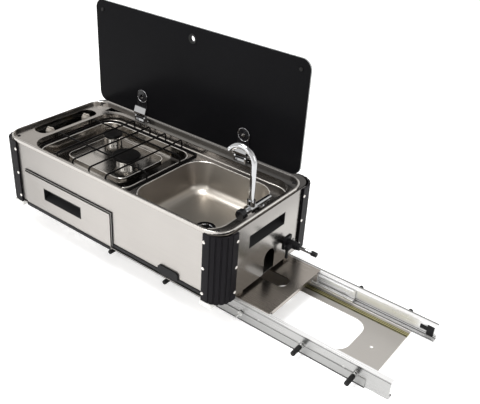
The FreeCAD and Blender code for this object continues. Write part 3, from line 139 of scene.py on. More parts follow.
class Graph:
    def __init__(self, tree):
        self.tree = tree

    def add(self, kind, settings=None, values=None, output=0):
        made = self.tree.nodes.new(kind)
        for key, setting in (settings or {}).items():
            setattr(made, key, setting)
        for key, value in (values or {}).items():
            self.feed(made.inputs[key], value)
        return Value(self, made.outputs[output])

    def feed(self, socket, value):
        for part in value if isinstance(value, list) else [value]:
            if isinstance(part, Value):
                self.tree.links.new(part.socket, socket)
            else:
                socket.default_value = part

    def axis(self, vector, index):
        return self.add("ShaderNodeSeparateXYZ", {}, {0: vector}, index)


print("helpers ready")

# %% [markdown]
# A product shot like this stands on white paper under large soft boxes. A wide pale floor, a bright
# world and three area lights do the same. The world is bright at the horizon and dimmer overhead, as
# in a studio with a dark ceiling: polished metal has little colour of its own, and it needs both
# light and dark things to mirror.

# %% Floor and lights
scene.view_settings.view_transform = "Standard"
floor_mesh = bpy.data.meshes.new("floor")
FLOOR_REACH, FLOOR_GAP = 30.0, 0.001
corners = [(x * FLOOR_REACH, y * FLOOR_REACH, 0) for x, y in ((-1, -1), (1, -1), (1, 1), (-1, 1))]
floor_mesh.from_pydata(corners, [], [(0, 1, 2, 3)])
floor = bpy.data.objects.new("floor", floor_mesh)
floor.location.z = cad_box[0][2] - FLOOR_GAP
scene.collection.objects.link(floor)

world = bpy.data.worlds.new("studio")
scene.world = world
world.use_nodes = True
sky = Graph(world.node_tree)
upward = sky.axis(sky.add("ShaderNodeTexCoord", output="Generated"), 2)
ceiling = {"Value": upward, "From Min": 0.52, "From Max": 0.95, "To Min": 1.0, "To Max": 0.40}
background = world.node_tree.nodes["Background"]
background.inputs["Color"].default_value = (1.0, 0.99, 0.975, 1)
dimmed = sky.add("ShaderNodeMapRange", {"interpolation_type": "SMOOTHSTEP"}, ceiling)
sky.feed(background.inputs["Strength"], dimmed)


def soft_box(name, place, target, size, power):
    data = bpy.data.lights.new(name, "AREA")
    data.shape = "RECTANGLE"
    data.size, data.size_y = size
    data.energy = power
    lamp = bpy.data.objects.new(name, data)
    lamp.location = place
    lamp.rotation_euler = (Vector(target) - Vector(place)).to_track_quat("-Z", "Y").to_euler()
    scene.collection.objects.link(lamp)


soft_box("top_box", place=(-0.5, -0.3, 2.2), target=(-0.3, 0, 0.2), size=(1.2, 0.8), power=40)
soft_box("front_box", place=(-0.9, -2.2, 1.2), target=(-0.4, 0, 0.2), size=(1.8, 1.2), power=14)
soft_box("side_box", place=(2.2, 0.3, 1.0), target=(0, 0, 0.2), size=(1.2, 1.2), power=10)
print("lights ready")

# %% [markdown]
# ## Finishes
# Each finish is a Principled shader with a little graph in front of it. All of them read Object
# coordinates, which are metres in the model's frame, so a scale of 500 means 500 lines per metre.


# %% A class for finishes
class Finish(Graph):
    def __init__(self, name):
        self.material = bpy.data.materials.new(name)
        self.material.use_nodes = True
        super().__init__(self.material.node_tree)
        self.shader = self.tree.nodes["Principled BSDF"]

    def set(self, **inputs):
        for key, value in inputs.items():
            self.feed(self.shader.inputs[key.replace("_", " ").title()], value)

    def shine(self, level):
        self.shader.inputs["Specular IOR Level"].default_value = level

    def place(self, stretch=(1, 1, 1)):
        where = self.add("ShaderNodeTexCoord", output="Object")
        return self.add("ShaderNodeMapping", {}, {"Vector": where, "Scale": stretch})

    def along(self, index):
        return self.axis(self.place(), index)

    def facing(self, index):
        return self.axis(self.add("ShaderNodeTexCoord", output="Normal"), index)

    def noise(self, scale, detail=3.0, stretch=(1, 1, 1), rough=0.5):
        values = {"Vector": self.place(stretch), "Scale": scale, "Detail": detail, "Roughness": rough}
        return self.add("ShaderNodeTexNoise", {"noise_dimensions": "3D"}, values)

    def mix(self, factor, first, second):
        paints = [value if isinstance(value, Value) else (*value, 1) for value in (first, second)]
        return self.add("ShaderNodeMix", {"data_type": "RGBA"}, {0: factor, 6: paints[0], 7: paints[1]}, 2)

    def bump(self, height, strength, distance):
        values = {"Height": height, "Strength": strength, "Distance": distance}
        self.set(normal=self.add("ShaderNodeBump", {}, values))


print("finish class ready")

# %% [markdown]
# Stainless panels are brushed in one direction. Noise that is squeezed hard across the brushing and
# left long beside it makes those hairlines. They change the roughness and a very small bump, and a
# second, slow noise lets the sheet look handled. The pressed sheets have much fainter lines than the panels.


# %% Steel finishes
LINE_SHADE, LINE_BUMP, HANDLED = 0.82, 0.12, 0.06


def steel(name, colour, rough, stretch, spread=0.10, line_depth=0.0001):
    finish = Finish(name)
    lines = finish.noise(1.0, 4.0, stretch, 0.6)
    slow = finish.noise(6.0, 2.0)
    darker = tuple(LINE_SHADE * part for part in colour)
    finish.set(base_color=finish.mix(lines * 0.5 + slow * 0.5, colour, darker))
    smoothest = rough - (spread + HANDLED) / 2
    finish.set(metallic=1.0, roughness=lines * spread + slow * HANDLED + smoothest)
    finish.bump(lines, LINE_BUMP, line_depth)
    return finish


PANEL = (0.42, 0.40, 0.38)
ALONG_X = (3, 700, 700)
ALONG_Y = (700, 3, 700)
DRAWN = (9, 160, 160)
POLISHED = (40, 40, 40)
panel_x = steel("brushed_along_x", PANEL, 0.36, ALONG_X)
panel_y = steel("brushed_along_y", (0.37, 0.355, 0.335), 0.20, ALONG_Y, 0.08)
bowl_steel = steel("pressed_bowl", (0.375, 0.345, 0.305), 0.33, DRAWN, 0.03, 0.000004)
well_steel = steel("pressed_well", (0.43, 0.405, 0.375), 0.17, DRAWN, 0.03, 0.000004)
# The polished edge steel is pale and part matt, so the rolled edges and rivets carry a painted highlight all
# round, besides their own shine.
edge_highlight_steel = steel("polished_edge", (0.72, 0.69, 0.65), 0.18, POLISHED, 0.04, 0.00003)
edge_highlight_steel.set(metallic=0.6)
tray_steel = steel("tray_sheet", (0.40, 0.365, 0.33), 0.26, ALONG_X, 0.06)
alloy = steel("polished_alloy", (0.74, 0.74, 0.73), 0.08, (90, 90, 90), 0.03, 0.00003)
brass = steel("turned_brass", (0.74, 0.56, 0.27), 0.24, (60, 60, 900))
chrome = steel("chrome_plate", (0.50, 0.505, 0.515), 0.05, (12, 12, 12), 0.02, 0.00001)
print("steels:", len(bpy.data.materials))

# %% [markdown]
# In the photograph some sheets are not one tone all over. Their second tones were matched to the
# photograph. Each mask is made from coordinates or from the way a face looks, and a second colour goes
# over the first one through it.


# %% Masks and second tones
def shade(finish, mask, colour):
    first = Value(finish, finish.shader.inputs["Base Color"].links[0].from_socket)
    finish.set(base_color=finish.mix(mask, first, colour))


def ramp(finish, value, start, end):
    limits = {"Value": value, "From Min": start, "From Max": end}
    return finish.add("ShaderNodeMapRange", {"interpolation_type": "SMOOTHSTEP"}, limits)


def band(value, middle, half):
    return abs(value - middle) < half


print("mask helpers ready")

# %% [markdown]
# The deck has painted shade behind the hob and the sink, where the dark lid's shade and reflection fall,
# apart from the upright wall at the hob, which has painted light. The painted shade is darkest at the sink's
# end, on that wall and on the strip above it. The rim has painted shade along the back.

# %% Deck and rim
BACK_START, BACK_LEFT, SINK_END_SHADE = (0.112, 0.122), (-0.64, -0.52), (-0.32, -0.14)
STRIP_FOOT, RIM_BACK_SHADE = 0.2605, (0.150, 0.158)
deck_steel = steel("pressed_deck", (0.345, 0.32, 0.295), 0.25, DRAWN, 0.05, 0.00002)
past_knobs = ramp(deck_steel, deck_steel.along(0), *BACK_LEFT)
lid_shade = ramp(deck_steel, deck_steel.along(1), *BACK_START) * past_knobs
strip = lid_shade * (deck_steel.along(2) > STRIP_FOOT)
wall = lid_shade * (deck_steel.facing(1) < -0.5)
sink_end_shade = ramp(deck_steel, deck_steel.along(0), *SINK_END_SHADE)
# Painted shade of the lid behind the hob and the sink, painted light on the upright wall at the hob, and the
# darkest painted shade at the sink's end on the wall and on the strip.
shade(deck_steel, lid_shade * 0.9, (0.155, 0.147, 0.138))
shade(deck_steel, wall, (0.56, 0.53, 0.50))
shade(deck_steel, wall * sink_end_shade, (0.085, 0.08, 0.075))
shade(deck_steel, strip, (0.15, 0.142, 0.13))
shade(deck_steel, strip * sink_end_shade, (0.055, 0.051, 0.048))

rim_run = steel("rim_run", (0.47, 0.45, 0.425), 0.18, POLISHED, 0.04, 0.00003)
# Painted shade along the back run of the rim, where the lid's shade falls.
shade(rim_run, ramp(rim_run, rim_run.along(1), *RIM_BACK_SHADE), (0.22, 0.21, 0.20))
print("deck and rim ready")

# %% [markdown]
# The well is dark to the right of its raised table, a painted shade. The bowl is darker on its left wall, a
# painted shade, and paler on the bend between the walls and the floor, a painted highlight.

# %% Well and bowl
WELL_RIGHT_SHADE = (-0.419, -0.409)
LEFT_WALL_SHADE, BEND_HIGHLIGHT_START, BEND_HIGHLIGHT_END = (0.2, 0.9), (0.38, 0.70), (0.82, 0.99)
# Painted shade to the right of the well's raised table.
shade(well_steel, ramp(well_steel, well_steel.along(0), *WELL_RIGHT_SHADE), (0.055, 0.051, 0.047))

bowl_up = bowl_steel.facing(2)
bend_highlight = ramp(bowl_steel, bowl_up, *BEND_HIGHLIGHT_START) * (1 - ramp(bowl_steel, bowl_up, *BEND_HIGHLIGHT_END))
# Painted shade on the bowl's left wall.
shade(bowl_steel, ramp(bowl_steel, bowl_steel.facing(0), *LEFT_WALL_SHADE), (0.19, 0.17, 0.15))
# A painted highlight: a paler band on the bend between the walls and the floor.
shade(bowl_steel, bend_highlight * 0.7, (0.74, 0.69, 0.62))
bowl_steel.set(metallic=0.85)
print("well and bowl ready")

# %% [markdown]
# The long panels have painted shade, darker towards the hob's end, and the end panels have painted shade,
# darker towards the top.

# %% Panels
HOB_END_SHADE, END_TOP_SHADE = (-0.78, -0.35), (0.17, 0.26)
hob_end_shade = 1 - ramp(panel_x, panel_x.along(0), *HOB_END_SHADE)
# Painted shade towards the hob's end of the long panels and towards the top of the end panels.
shade(panel_x, hob_end_shade, tuple(0.62 * part for part in PANEL))
shade(panel_y, ramp(panel_y, panel_y.along(2), *END_TOP_SHADE), tuple(0.58 * part for part in PANEL))
print("panels ready")

# %% [markdown]
# The slides are pale inside, with dark lines along the ball tracks, and greyer outside. The floor plate
# has a yellow strip along each side, with streaks and two dark lines, and a grey turned-up side with a
# dark foot.

# %% Slides and floor plate
LOW_TRACK, LOW_LINE, HIGH_LINE = (0.0062, 0.0019), (0.0115, 0.0009), (0.0465, 0.0009)
REAR_EDGE_FOOT, REAR_EDGE_START, WEB_OUTSIDE = 0.0508, 0.1235, 0.1285
OUTSIDE_LINE = (0.0492, 0.0010)
slide_zinc = steel("zinc_slide", (0.92, 0.92, 0.92), 0.27, (4, 500, 500), 0.05)
height = slide_zinc.along(2)
lines = band(height, *LOW_TRACK) + band(height, *LOW_LINE) + band(height, *HIGH_LINE)
rear_edge = (height > REAR_EDGE_FOOT) * (slide_zinc.along(1) > REAR_EDGE_START)
shade(slide_zinc, lines * 0.9 + rear_edge * 0.8, (0.05, 0.05, 0.048))
outside = abs(slide_zinc.along(1)) > WEB_OUTSIDE
shade(slide_zinc, outside, (0.40, 0.40, 0.395))
shade(slide_zinc, outside * band(height, *OUTSIDE_LINE), (0.13, 0.13, 0.13))
slide_zinc.set(metallic=0.5 + 0.5 * outside)

STRIP_IN, STRIP_OUT, SIDE_START, SIDE_FOOT = 0.088, 0.106, 0.1275, 0.0040
IN_LINE, OUT_LINE = (0.0915, 0.0012), (0.0990, 0.0012)
floor_plate = steel("floor_plate", (0.60, 0.575, 0.545), 0.44, (3, 500, 500))
plate_wave = {"Vector": floor_plate.place(), "Scale": 62.0, "Distortion": 1.5, "Detail": 2.0}
streaks = floor_plate.add("ShaderNodeTexWave", {"bands_direction": "Y"}, plate_wave, 1)
off_centre = abs(floor_plate.along(1))
tint = floor_plate.mix(ramp(floor_plate, streaks, 0.35, 0.75), (0.56, 0.52, 0.27), (0.10, 0.09, 0.045))
shade(floor_plate, (off_centre > STRIP_IN) * (off_centre < STRIP_OUT), tint)
shade(floor_plate, band(off_centre, *IN_LINE) + band(off_centre, *OUT_LINE), (0.07, 0.062, 0.03))
turned_side = off_centre > SIDE_START
shade(floor_plate, turned_side, (0.36, 0.36, 0.355))
shade(floor_plate, turned_side * (floor_plate.along(2) < SIDE_FOOT), (0.05, 0.05, 0.05))
print("two-tone sheets ready")

# %% [markdown]
# The studs are cut with a thread. A wave along Y, fed into a bump, turns the plain shank into a screw.

# %% Threaded studs
thread = steel("threaded_zinc", (0.74, 0.74, 0.73), 0.28, (60, 60, 60))
thread_wave = {"Vector": thread.place(), "Scale": 320.0}
turns = thread.add("ShaderNodeTexWave", {"bands_direction": "Y"}, thread_wave, 1)
thread.bump(turns, strength=0.5, distance=0.0003)
print("thread ready")

# %% [markdown]
# Several blacks meet here: satin powder coat on the posts, enamel on the wires and burner caps, satin and
# glossy plastic, and rubber. Each has its own gloss and grain, or they would melt into one shape. The seal
# round the drawer has a pale painted highlight along its middle, where the drawer front's top edge catches
# the light, and the feet and the burner knobs are pale plastic.


# %% Black and grey finishes
def grained(name, colour, pale, rough, grain, depth=0.0001, coat=0.0, gloss=0.5):
    finish = Finish(name)
    fine = finish.noise(grain, 4.0)
    broad = finish.noise(14.0, 2.0)
    finish.set(base_color=finish.mix(fine * 0.6 + broad * 0.4, colour, pale))
    finish.set(roughness=fine * 0.12 + broad * 0.08 + rough, metallic=0.0, coat_weight=coat)
    finish.shine(gloss)
    finish.bump(fine, 0.25, depth)
    return finish


post_coat = grained(
    "satin_powder_coat", (0.003, 0.0026, 0.0035), (0.007, 0.006, 0.008), 0.30, 900, gloss=0.08)
enamel = grained("black_enamel", (0.002, 0.002, 0.002), (0.005, 0.0045, 0.0045), 0.30, 500, gloss=0.06)
plastic = grained("moulded_plastic", (0.004, 0.004, 0.0045), (0.011, 0.011, 0.012), 0.42, 1400, gloss=0.15)
gloss_black = grained(
    "gloss_plastic", (0.003, 0.003, 0.004), (0.008, 0.008, 0.009), 0.10, 1200, 0.00003, gloss=0.4)
rubber = grained("rubber", (0.006, 0.006, 0.006), (0.014, 0.014, 0.014), 0.55, 1600, gloss=0.2)
foot_grey = grained("foot_plastic", (0.60, 0.60, 0.58), (0.72, 0.71, 0.69), 0.50, 900)
knob_pale = grained("knob_plastic", (0.22, 0.20, 0.175), (0.32, 0.29, 0.255), 0.34, 900)
seal = grained("door_seal", (0.004, 0.004, 0.0045), (0.011, 0.011, 0.012), 0.42, 1400, gloss=0.15)
# A painted highlight: a pale line along the middle of the seal, where the drawer front's top edge catches
# the light.
HIGHLIGHT_OVER, HIGHLIGHT_BESIDE, HIGHLIGHT_HALF = 0.0033, 0.0030, 0.0008
drawer_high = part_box("drawer_front")[1]
over = seal.along(2) - (drawer_high.z + HIGHLIGHT_OVER)
beside = seal.along(0) - (drawer_high.x + HIGHLIGHT_BESIDE)
seal_highlight = (abs(over) < HIGHLIGHT_HALF) * (beside < HIGHLIGHT_HALF) + (abs(beside) < HIGHLIGHT_HALF) * (over < HIGHLIGHT_HALF)
shade(seal, seal_highlight, (0.30, 0.29, 0.275))
print("blacks ready")

# %% [markdown]
# The lid is toughened glass with a black print on its back, so the sheet is black and its ground edge
# is pale green-grey. The face of the sheet looks along Y and the edge does not, which makes the mask.


# %% Lid glass
def printed_glass():
    finish = Finish("printed_glass")
    edge = abs(finish.facing(1)) < 0.9
    haze = finish.noise(3.0, 2.0)
    sheet = finish.mix(haze, (0.0035, 0.0035, 0.004), (0.007, 0.007, 0.008))
    finish.set(base_color=finish.mix(edge, sheet, (0.30, 0.31, 0.31)))
    finish.set(roughness=haze * 0.05 + edge * 0.15 + 0.20)
    finish.shine(0.03)
    return finish


glass = printed_glass()
print("glass ready")

# %% [markdown]
# The paper under the object is matt, and it glows a little so that it stays white up to the horizon.

# %% Paper floor
PAPER_GLOW = 0.40
paper = Finish("white_paper")
fibres = paper.noise(60.0, 3.0)
paper.set(base_color=paper.mix(fibres, (0.93, 0.93, 0.93), (0.96, 0.96, 0.96)), roughness=0.9)
paper.shader.inputs["Emission Color"].default_value = (1, 1, 1, 1)
paper.shader.inputs["Emission Strength"].default_value = PAPER_GLOW
floor_mesh.materials.append(paper.material)
print("finishes:", len(bpy.data.materials))

# %% [markdown]
# ## Putting finishes on the solids
# Each node of the model is already an object of its own. A table from finish to nodes is easier to
# read and to change than a setting per object.

# %% Assign finishes
WEARS = [
    (panel_x, "front_panel rear_panel housing_floor drawer_front drawer_tray"),
    (panel_y, "right_panel left_panel"),
    (deck_steel, "deck_sheet recess_tray"),
    (well_steel, "burner_well"),
    (bowl_steel, "sink_bowl"),
    (edge_highlight_steel, "post_rivets"),
    (rim_run, "rim_bead"),
    (seal, "front_skirt"),
    (tray_steel, "slide_tray"),
    (floor_plate, "base_plate"),
    (slide_zinc, "front_outer_rail rear_outer_rail front_middle_rail rear_middle_rail front_inner_rail"),
    (slide_zinc, "rear_inner_rail roller_cages"),
    (thread, "rail_studs"),
    (post_coat, "front_left_post front_right_post rear_left_post rear_right_post"),
    (chrome, "tap_body tap_spout hinge_bases inlet_pipe lid_screws sink_waste"),
    (alloy, "front_burner_cup rear_burner_cup gas_pipes"),
    (enamel, "front_burner_cap rear_burner_cap pot_support"),
    (brass, "gas_valves"),
    (plastic, "rail_stops end_grip_cup drawer_grip_cup drawer_skirt inlet_valve inlet_cap"),
    (plastic, "inlet_lever deck_screws spark_plugs"),
    (gloss_black, "tap_knob waste_elbow hinge_leaves"),
    (knob_pale, "front_burner_knob rear_burner_knob"),
    (rubber, "stud_caps lid_rubbers"),
    (foot_grey, "corner_feet drawer_runners"),
    (glass, "lid_glass"),
]
for finish, names in WEARS:
    for name in names.split():
        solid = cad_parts[name]
        solid.data.materials.clear()
        solid.data.materials.append(finish.material)
print("solids dressed:", sum(len(names.split()) for _, names in WEARS))

# %% [markdown]
# ## Edges that catch the light
# No real edge is perfectly sharp, and a small round along it draws the bright line by which we read a
# shape. A solid's mesh must stay as it is, so a copy gets the round: its loose triangles are merged,
# flat faces are joined, a Bevel modifier works on the edges that are left, and the copy replaces the solid.


# %% Rounded copies
WELD = 1e-6
FLAT_ANGLE, BEVEL_ANGLE, CREASE_ANGLE, SHARP_ANGLE = (math.radians(n) for n in (0.5, 40, 20, 35))


def add_piece(name, mesh):
    piece = bpy.data.objects.new(name, mesh)
    scene.collection.objects.link(piece)
    return piece


def made_plain(piece):
    """The evaluated shape as a plain mesh, with the modifiers gone."""
    bpy.context.view_layer.update()
    shown = piece.evaluated_get(bpy.context.evaluated_depsgraph_get())
    mesh = bpy.data.meshes.new_from_object(shown)
    piece.modifiers.clear()
    piece.data = mesh
    mesh.name = piece.name
    return piece


def smooth(mesh, angle=SHARP_ANGLE):
    mesh.polygons.foreach_set("use_smooth", [True] * len(mesh.polygons))
    mesh.set_sharp_from_angle(angle=angle)


def rounded(node, width, body, segments=3):
    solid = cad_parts[node]
    form = bmesh.new()
    form.from_mesh(solid.data)
    bmesh.ops.remove_doubles(form, verts=form.verts[:], dist=WELD)
    bmesh.ops.dissolve_limit(form, angle_limit=FLAT_ANGLE, verts=form.verts[:], edges=form.edges[:])
    mesh = bpy.data.meshes.new(node + "_rounded")
    form.to_mesh(mesh)
    form.free()
    piece = add_piece(node + "_rounded", mesh)
    bevel = piece.modifiers.new("edge", "BEVEL")
    bevel.width = width
    bevel.segments = segments
    bevel.limit_method = "ANGLE"
    bevel.angle_limit = BEVEL_ANGLE
    made_plain(piece)
    smooth(piece.data, CREASE_ANGLE)
    piece.data.materials.clear()
    piece.data.materials.append(solid.data.materials[0])
    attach(piece, body)
    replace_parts(piece, node)
    print(piece.name, len(piece.data.polygons), "faces")


rounded("lid_glass", 0.0012, "lid", 2)
rounded("hinge_leaves", 0.0011, "lid")
rounded("drawer_front", 0.0006, "drawer", 2)
rounded("corner_feet", 0.0012, "housing", 2)
rounded("stud_caps", 0.0018, "base")
rounded("rail_stops", 0.0006, "base", 2)
rounded("inlet_lever", 0.0012, "inlet_handle")
rounded("inlet_cap", 0.0012, "housing")

# %% [markdown]
# ## Patterns with Geometry Nodes
# Rivets, screws, ports, ribs and eyelets are all one small shape set out by a rule. A Geometry Nodes
# tree holds the rule, with its sizes as named inputs, and the small shape comes in as an object. The
# tree ends by making the copies real, because an export keeps meshes and drops instances.


# %% A class for patterns
FILLET_STEPS, WIRE_SIDES = 10, 10


class Pattern(Graph):
    def __init__(self, name, shape=None, **sizes):
        super().__init__(bpy.data.node_groups.new(name, "GeometryNodeTree"))
        self.name = name
        self.shape = shape
        self.sizes = {}
        self.tree.interface.new_socket("Geometry", in_out="OUTPUT", socket_type="NodeSocketGeometry")
        for key, size in sizes.items():
            kind = "NodeSocketInt" if isinstance(size, int) else "NodeSocketFloat"
            socket = self.tree.interface.new_socket(key, in_out="INPUT", socket_type=kind)
            self.sizes[key] = (socket.identifier, size)
        self.entry = self.tree.nodes.new("NodeGroupInput")

    def size(self, key):
        return Value(self, self.entry.outputs[key])

    def vector(self, x=0.0, y=0.0, z=0.0):
        return self.add("ShaderNodeCombineXYZ", {}, {0: x, 1: y, 2: z})

    def moved(self, geometry, shift=(0, 0, 0), turn=(0, 0, 0)):
        values = {"Geometry": geometry, "Translation": shift, "Rotation": turn}
        return self.add("GeometryNodeTransform", {}, values)

    def joined(self, parts):
        return self.add("GeometryNodeJoinGeometry", {}, {0: parts})

    def copies(self, points, turn=(0, 0, 0)):
        shape = self.add("GeometryNodeObjectInfo", {}, {"Object": self.shape}, "Geometry")
        values = {"Points": points, "Instance": shape, "Rotation": turn}
        return self.add("GeometryNodeInstanceOnPoints", {}, values)

    def sheet(self, across, along, columns, rows):
        values = {"Size X": across, "Size Y": along, "Vertices X": columns, "Vertices Y": rows}
        return self.copies(self.add("GeometryNodeMeshGrid", {}, values))

    def ring(self, radius, count):
        circle = self.add("GeometryNodeMeshCircle", {}, {"Vertices": count, "Radius": radius})
        angle = self.add("GeometryNodeInputIndex") * math.tau / count
        turn = self.add("FunctionNodeEulerToRotation", {}, {0: self.vector(0.0, 0.0, angle)})
        return self.copies(circle, turn)

    def outline(self, width, depth, corner):
        loop = self.add("GeometryNodeCurvePrimitiveQuadrilateral", {}, {"Width": width, "Height": depth})
        values = {"Curve": loop, "Count": FILLET_STEPS, "Radius": corner, "Limit Radius": True}
        return self.add("GeometryNodeFilletCurve", {"mode": "POLY"}, values)

    def circle(self, radius, steps):
        return self.add("GeometryNodeCurvePrimitiveCircle", {}, {"Resolution": steps, "Radius": radius})

    def wire(self, path, radius):
        values = {"Curve": path, "Profile Curve": self.circle(radius, WIRE_SIDES)}
        return self.add("GeometryNodeCurveToMesh", {}, values)

    def make(self, geometry, finish, body, slot):
        real = self.add("GeometryNodeRealizeInstances", {}, {0: geometry})
        coated = self.add("GeometryNodeSetMaterial", {}, {"Geometry": real, "Material": finish.material})
        self.feed(self.tree.nodes.new("NodeGroupOutput").inputs[0], coated)
        piece = add_piece(self.name, bpy.data.meshes.new(self.name))
        modifier = piece.modifiers.new("pattern", "NODES")
        modifier.node_group = self.tree
        for identifier, size in self.sizes.values():
            modifier[identifier] = size
        made_plain(piece)
        smooth(piece.data)
        if self.shape:
            bpy.data.objects.remove(self.shape)
        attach(piece, body)
        print(piece.name, len(piece.data.polygons), "faces")
        return piece


print("pattern class ready")

# %% [markdown]
# Two kinds of small shape are enough. A turned one comes from a profile of radius and height that goes
# round the Z axis, as on a lathe. A rib is a half-round bar along Z with drawn-in ends, whose round
# side looks along X.


# %% Small shapes
SMALL_WELD = 1e-7
RIB_LEVELS = ((0.0, 0.55), (0.12, 1.0), (0.88, 1.0), (1.0, 0.55))
RIB_ANGLES = [math.radians(angle) for angle in (-90, -40, 0, 40, 90)]


def small_shape(name, form):
    bmesh.ops.remove_doubles(form, verts=form.verts[:], dist=SMALL_WELD)
    bmesh.ops.recalc_face_normals(form, faces=form.faces[:])
    mesh = bpy.data.meshes.new(name)
    form.to_mesh(mesh)
    form.free()
    return add_piece(name, mesh)


def skin(form, rings):
    for lower, upper in zip(rings, rings[1:]):
        count = max(len(lower), len(upper))
        for step in range(count):
            quad = [lower[step % len(lower)], lower[(step + 1) % count % len(lower)],
                    upper[(step + 1) % count % len(upper)], upper[step % len(upper)]]
            form.faces.new(list(dict.fromkeys(quad)))


def turned(name, profile, sides=12):
    form = bmesh.new()
    rings = []
    for radius, height in profile:
        steps = range(sides if radius else 1)
        angles = [math.tau * step / sides for step in steps]
        rings.append([form.verts.new((radius * math.cos(a), radius * math.sin(a), height)) for a in angles])
    skin(form, rings)
    return small_shape(name, form)


def rib(name, width, depth, height):
    form = bmesh.new()
    rings = []
    for level, share in RIB_LEVELS:
        points = [(depth * share * math.cos(a), width / 2 * share * math.sin(a)) for a in RIB_ANGLES]
        points.append((-depth, width / 2 * share))
        points.append((-depth, -width / 2 * share))
        rings.append([form.verts.new((x, y, level * height)) for x, y in points])
    skin(form, rings)
    form.faces.new(rings[0])
    form.faces.new(rings[-1])
    return small_shape(name, form)


print("small shapes ready")

# %% [markdown]
# The corner posts are held by domed rivets, three in each flange. One grid of two by three stands for a
# side of the box, and it is turned a quarter at a time to reach all four sides. The sizes come from
# the solid rivets that the pattern replaces.

# %% Rivets
low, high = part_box("post_rivets")
HEAD, DOME, INSET = 0.0045, 0.0018, 0.0575
dome = [(0, DOME), (0.0018, 0.0017), (0.0033, 0.0012), (0.0042, 0.0006), (HEAD, 0), (0, -0.001)]
rivets = Pattern(
    "domed_rivets", turned("rivet", dome),
    long_spread=high.x - low.x - (INSET + DOME) * 2, end_spread=high.y - low.y - (INSET + DOME) * 2,
    rise=high.z - low.z - HEAD * 2,
    long_reach=(high.y - low.y) / 2 - DOME, end_reach=(high.x - low.x) / 2 - DOME)
sides = []
for quarter in range(4):
    side = ("long", "end")[quarter % 2]
    grid = rivets.sheet(rivets.size(side + "_spread"), rivets.size("rise"), 2, 3)
    outward = rivets.vector(0.0, 0.0 - rivets.size(side + "_reach"), 0.0)
    stood = rivets.moved(grid, outward, (math.pi / 2, 0, 0))
    sides.append(rivets.moved(stood, (0, 0, 0), (0, 0, quarter * math.pi / 2)))
centred = rivets.moved(rivets.joined(sides), (low + high) / 2)
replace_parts(rivets.make(centred, edge_highlight_steel, "housing", "panel_steel"), "post_rivets")

# %% [markdown]
# Four black screws hold the pressed top. They are a grid of two by two of a turned head with a socket.

# %% Deck screws
low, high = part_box("deck_screws")
RADIUS, RISE, SOCKET = 0.005, 0.0015, 0.0021
head = [(0, 0.0002), (SOCKET, 0.0002), (SOCKET, 0.0012), (0.0026, RISE), (0.0040, 0.0013), (RADIUS, 0.0006)]
screws = Pattern(
    "socket_screws", turned("screw", head + [(RADIUS, -0.0004), (0, -0.0004)], 18),
    across=high.x - low.x - RADIUS * 2, along=high.y - low.y - RADIUS * 2)
grid = screws.sheet(screws.size("across"), screws.size("along"), 2, 2)
seat = ((low.x + high.x) / 2, (low.y + high.y) / 2, low.z)
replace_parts(screws.make(screws.moved(grid, seat), plastic, "housing", "black_plastic"), "deck_screws")

# %% [markdown]
# Gas leaves a burner through a ring of narrow ports. On the bright cup each port is a dark upright slot,
# so a ring of ribs in black stands just proud of the cup's wall.

# %% Burner ports
PORT_WIDTH, PORT_DEPTH, PORT_HEIGHT, PORT_FOOT = 0.0016, 0.0003, 0.0085, 0.0025
WALL_SHARE, CUP_WALL = 0.70, 0.0195
for side, ports in (("front", 26), ("rear", 18)):
    cap_low, cap_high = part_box(side + "_burner_cap")
    cup_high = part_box(side + "_burner_cup")[1]
    slots = Pattern(
        side + "_burner_ports", rib("port", PORT_WIDTH, PORT_DEPTH, PORT_HEIGHT),
        wall=(cap_high.x - cap_low.x) / 2 * WALL_SHARE, ports=ports, foot=cup_high.z - CUP_WALL + PORT_FOOT)
    middle = (cap_low + cap_high) / 2
    place = slots.vector(middle.x, middle.y, slots.size("foot"))
    circle = slots.ring(slots.size("wall"), slots.size("ports"))
    slots.make(slots.moved(circle, place), enamel, "housing", "enamel_black")

# %% [markdown]
# Knobs have ribs so that wet fingers can turn them. The ribs ride on the knob's own body and turn with it.
# The tap's knob points along Y, so its ring is laid over by a quarter turn.

# %% Knob ribs
GRIP_WIDTH, GRIP_DEPTH = 0.0016, 0.0007
BURNER_GRIP, GRIP_FOOT, TAP_GRIP, TAP_GRIP_BACK = 0.016, 0.0015, 0.0125, 0.0045
for side in ("front", "rear"):
    low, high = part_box(side + "_burner_knob")
    grip = Pattern(
        side + "_knob_ribs", rib("grip", GRIP_WIDTH, GRIP_DEPTH, BURNER_GRIP),
        radius=(high.x - low.x) / 2, ribs=22, foot=low.z + GRIP_FOOT)
    middle = (low + high) / 2
    place = grip.vector(middle.x, middle.y, grip.size("foot"))
    circle = grip.ring(grip.size("radius"), grip.size("ribs"))
    grip.make(grip.moved(circle, place), knob_pale, side + "_knob", "knob_plastic")

low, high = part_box("tap_knob")
grip = Pattern(
    "tap_knob_ribs", rib("grip", GRIP_WIDTH, GRIP_DEPTH, TAP_GRIP), radius=(high.x - low.x) / 2, ribs=24)
circle = grip.ring(grip.size("radius"), grip.size("ribs"))
place = ((low.x + high.x) / 2, high.y - TAP_GRIP_BACK, (low.z + high.z) / 2)
grip.make(grip.moved(circle, place, (math.pi / 2, 0, 0)), gloss_black, "tap_handle", "knob_plastic")

# %% [markdown]
# The slides are rolled from strip and punched at even steps. Each hole has a pressed collar that goes
# through the web. One row of collars is set out along X and used for both slides.

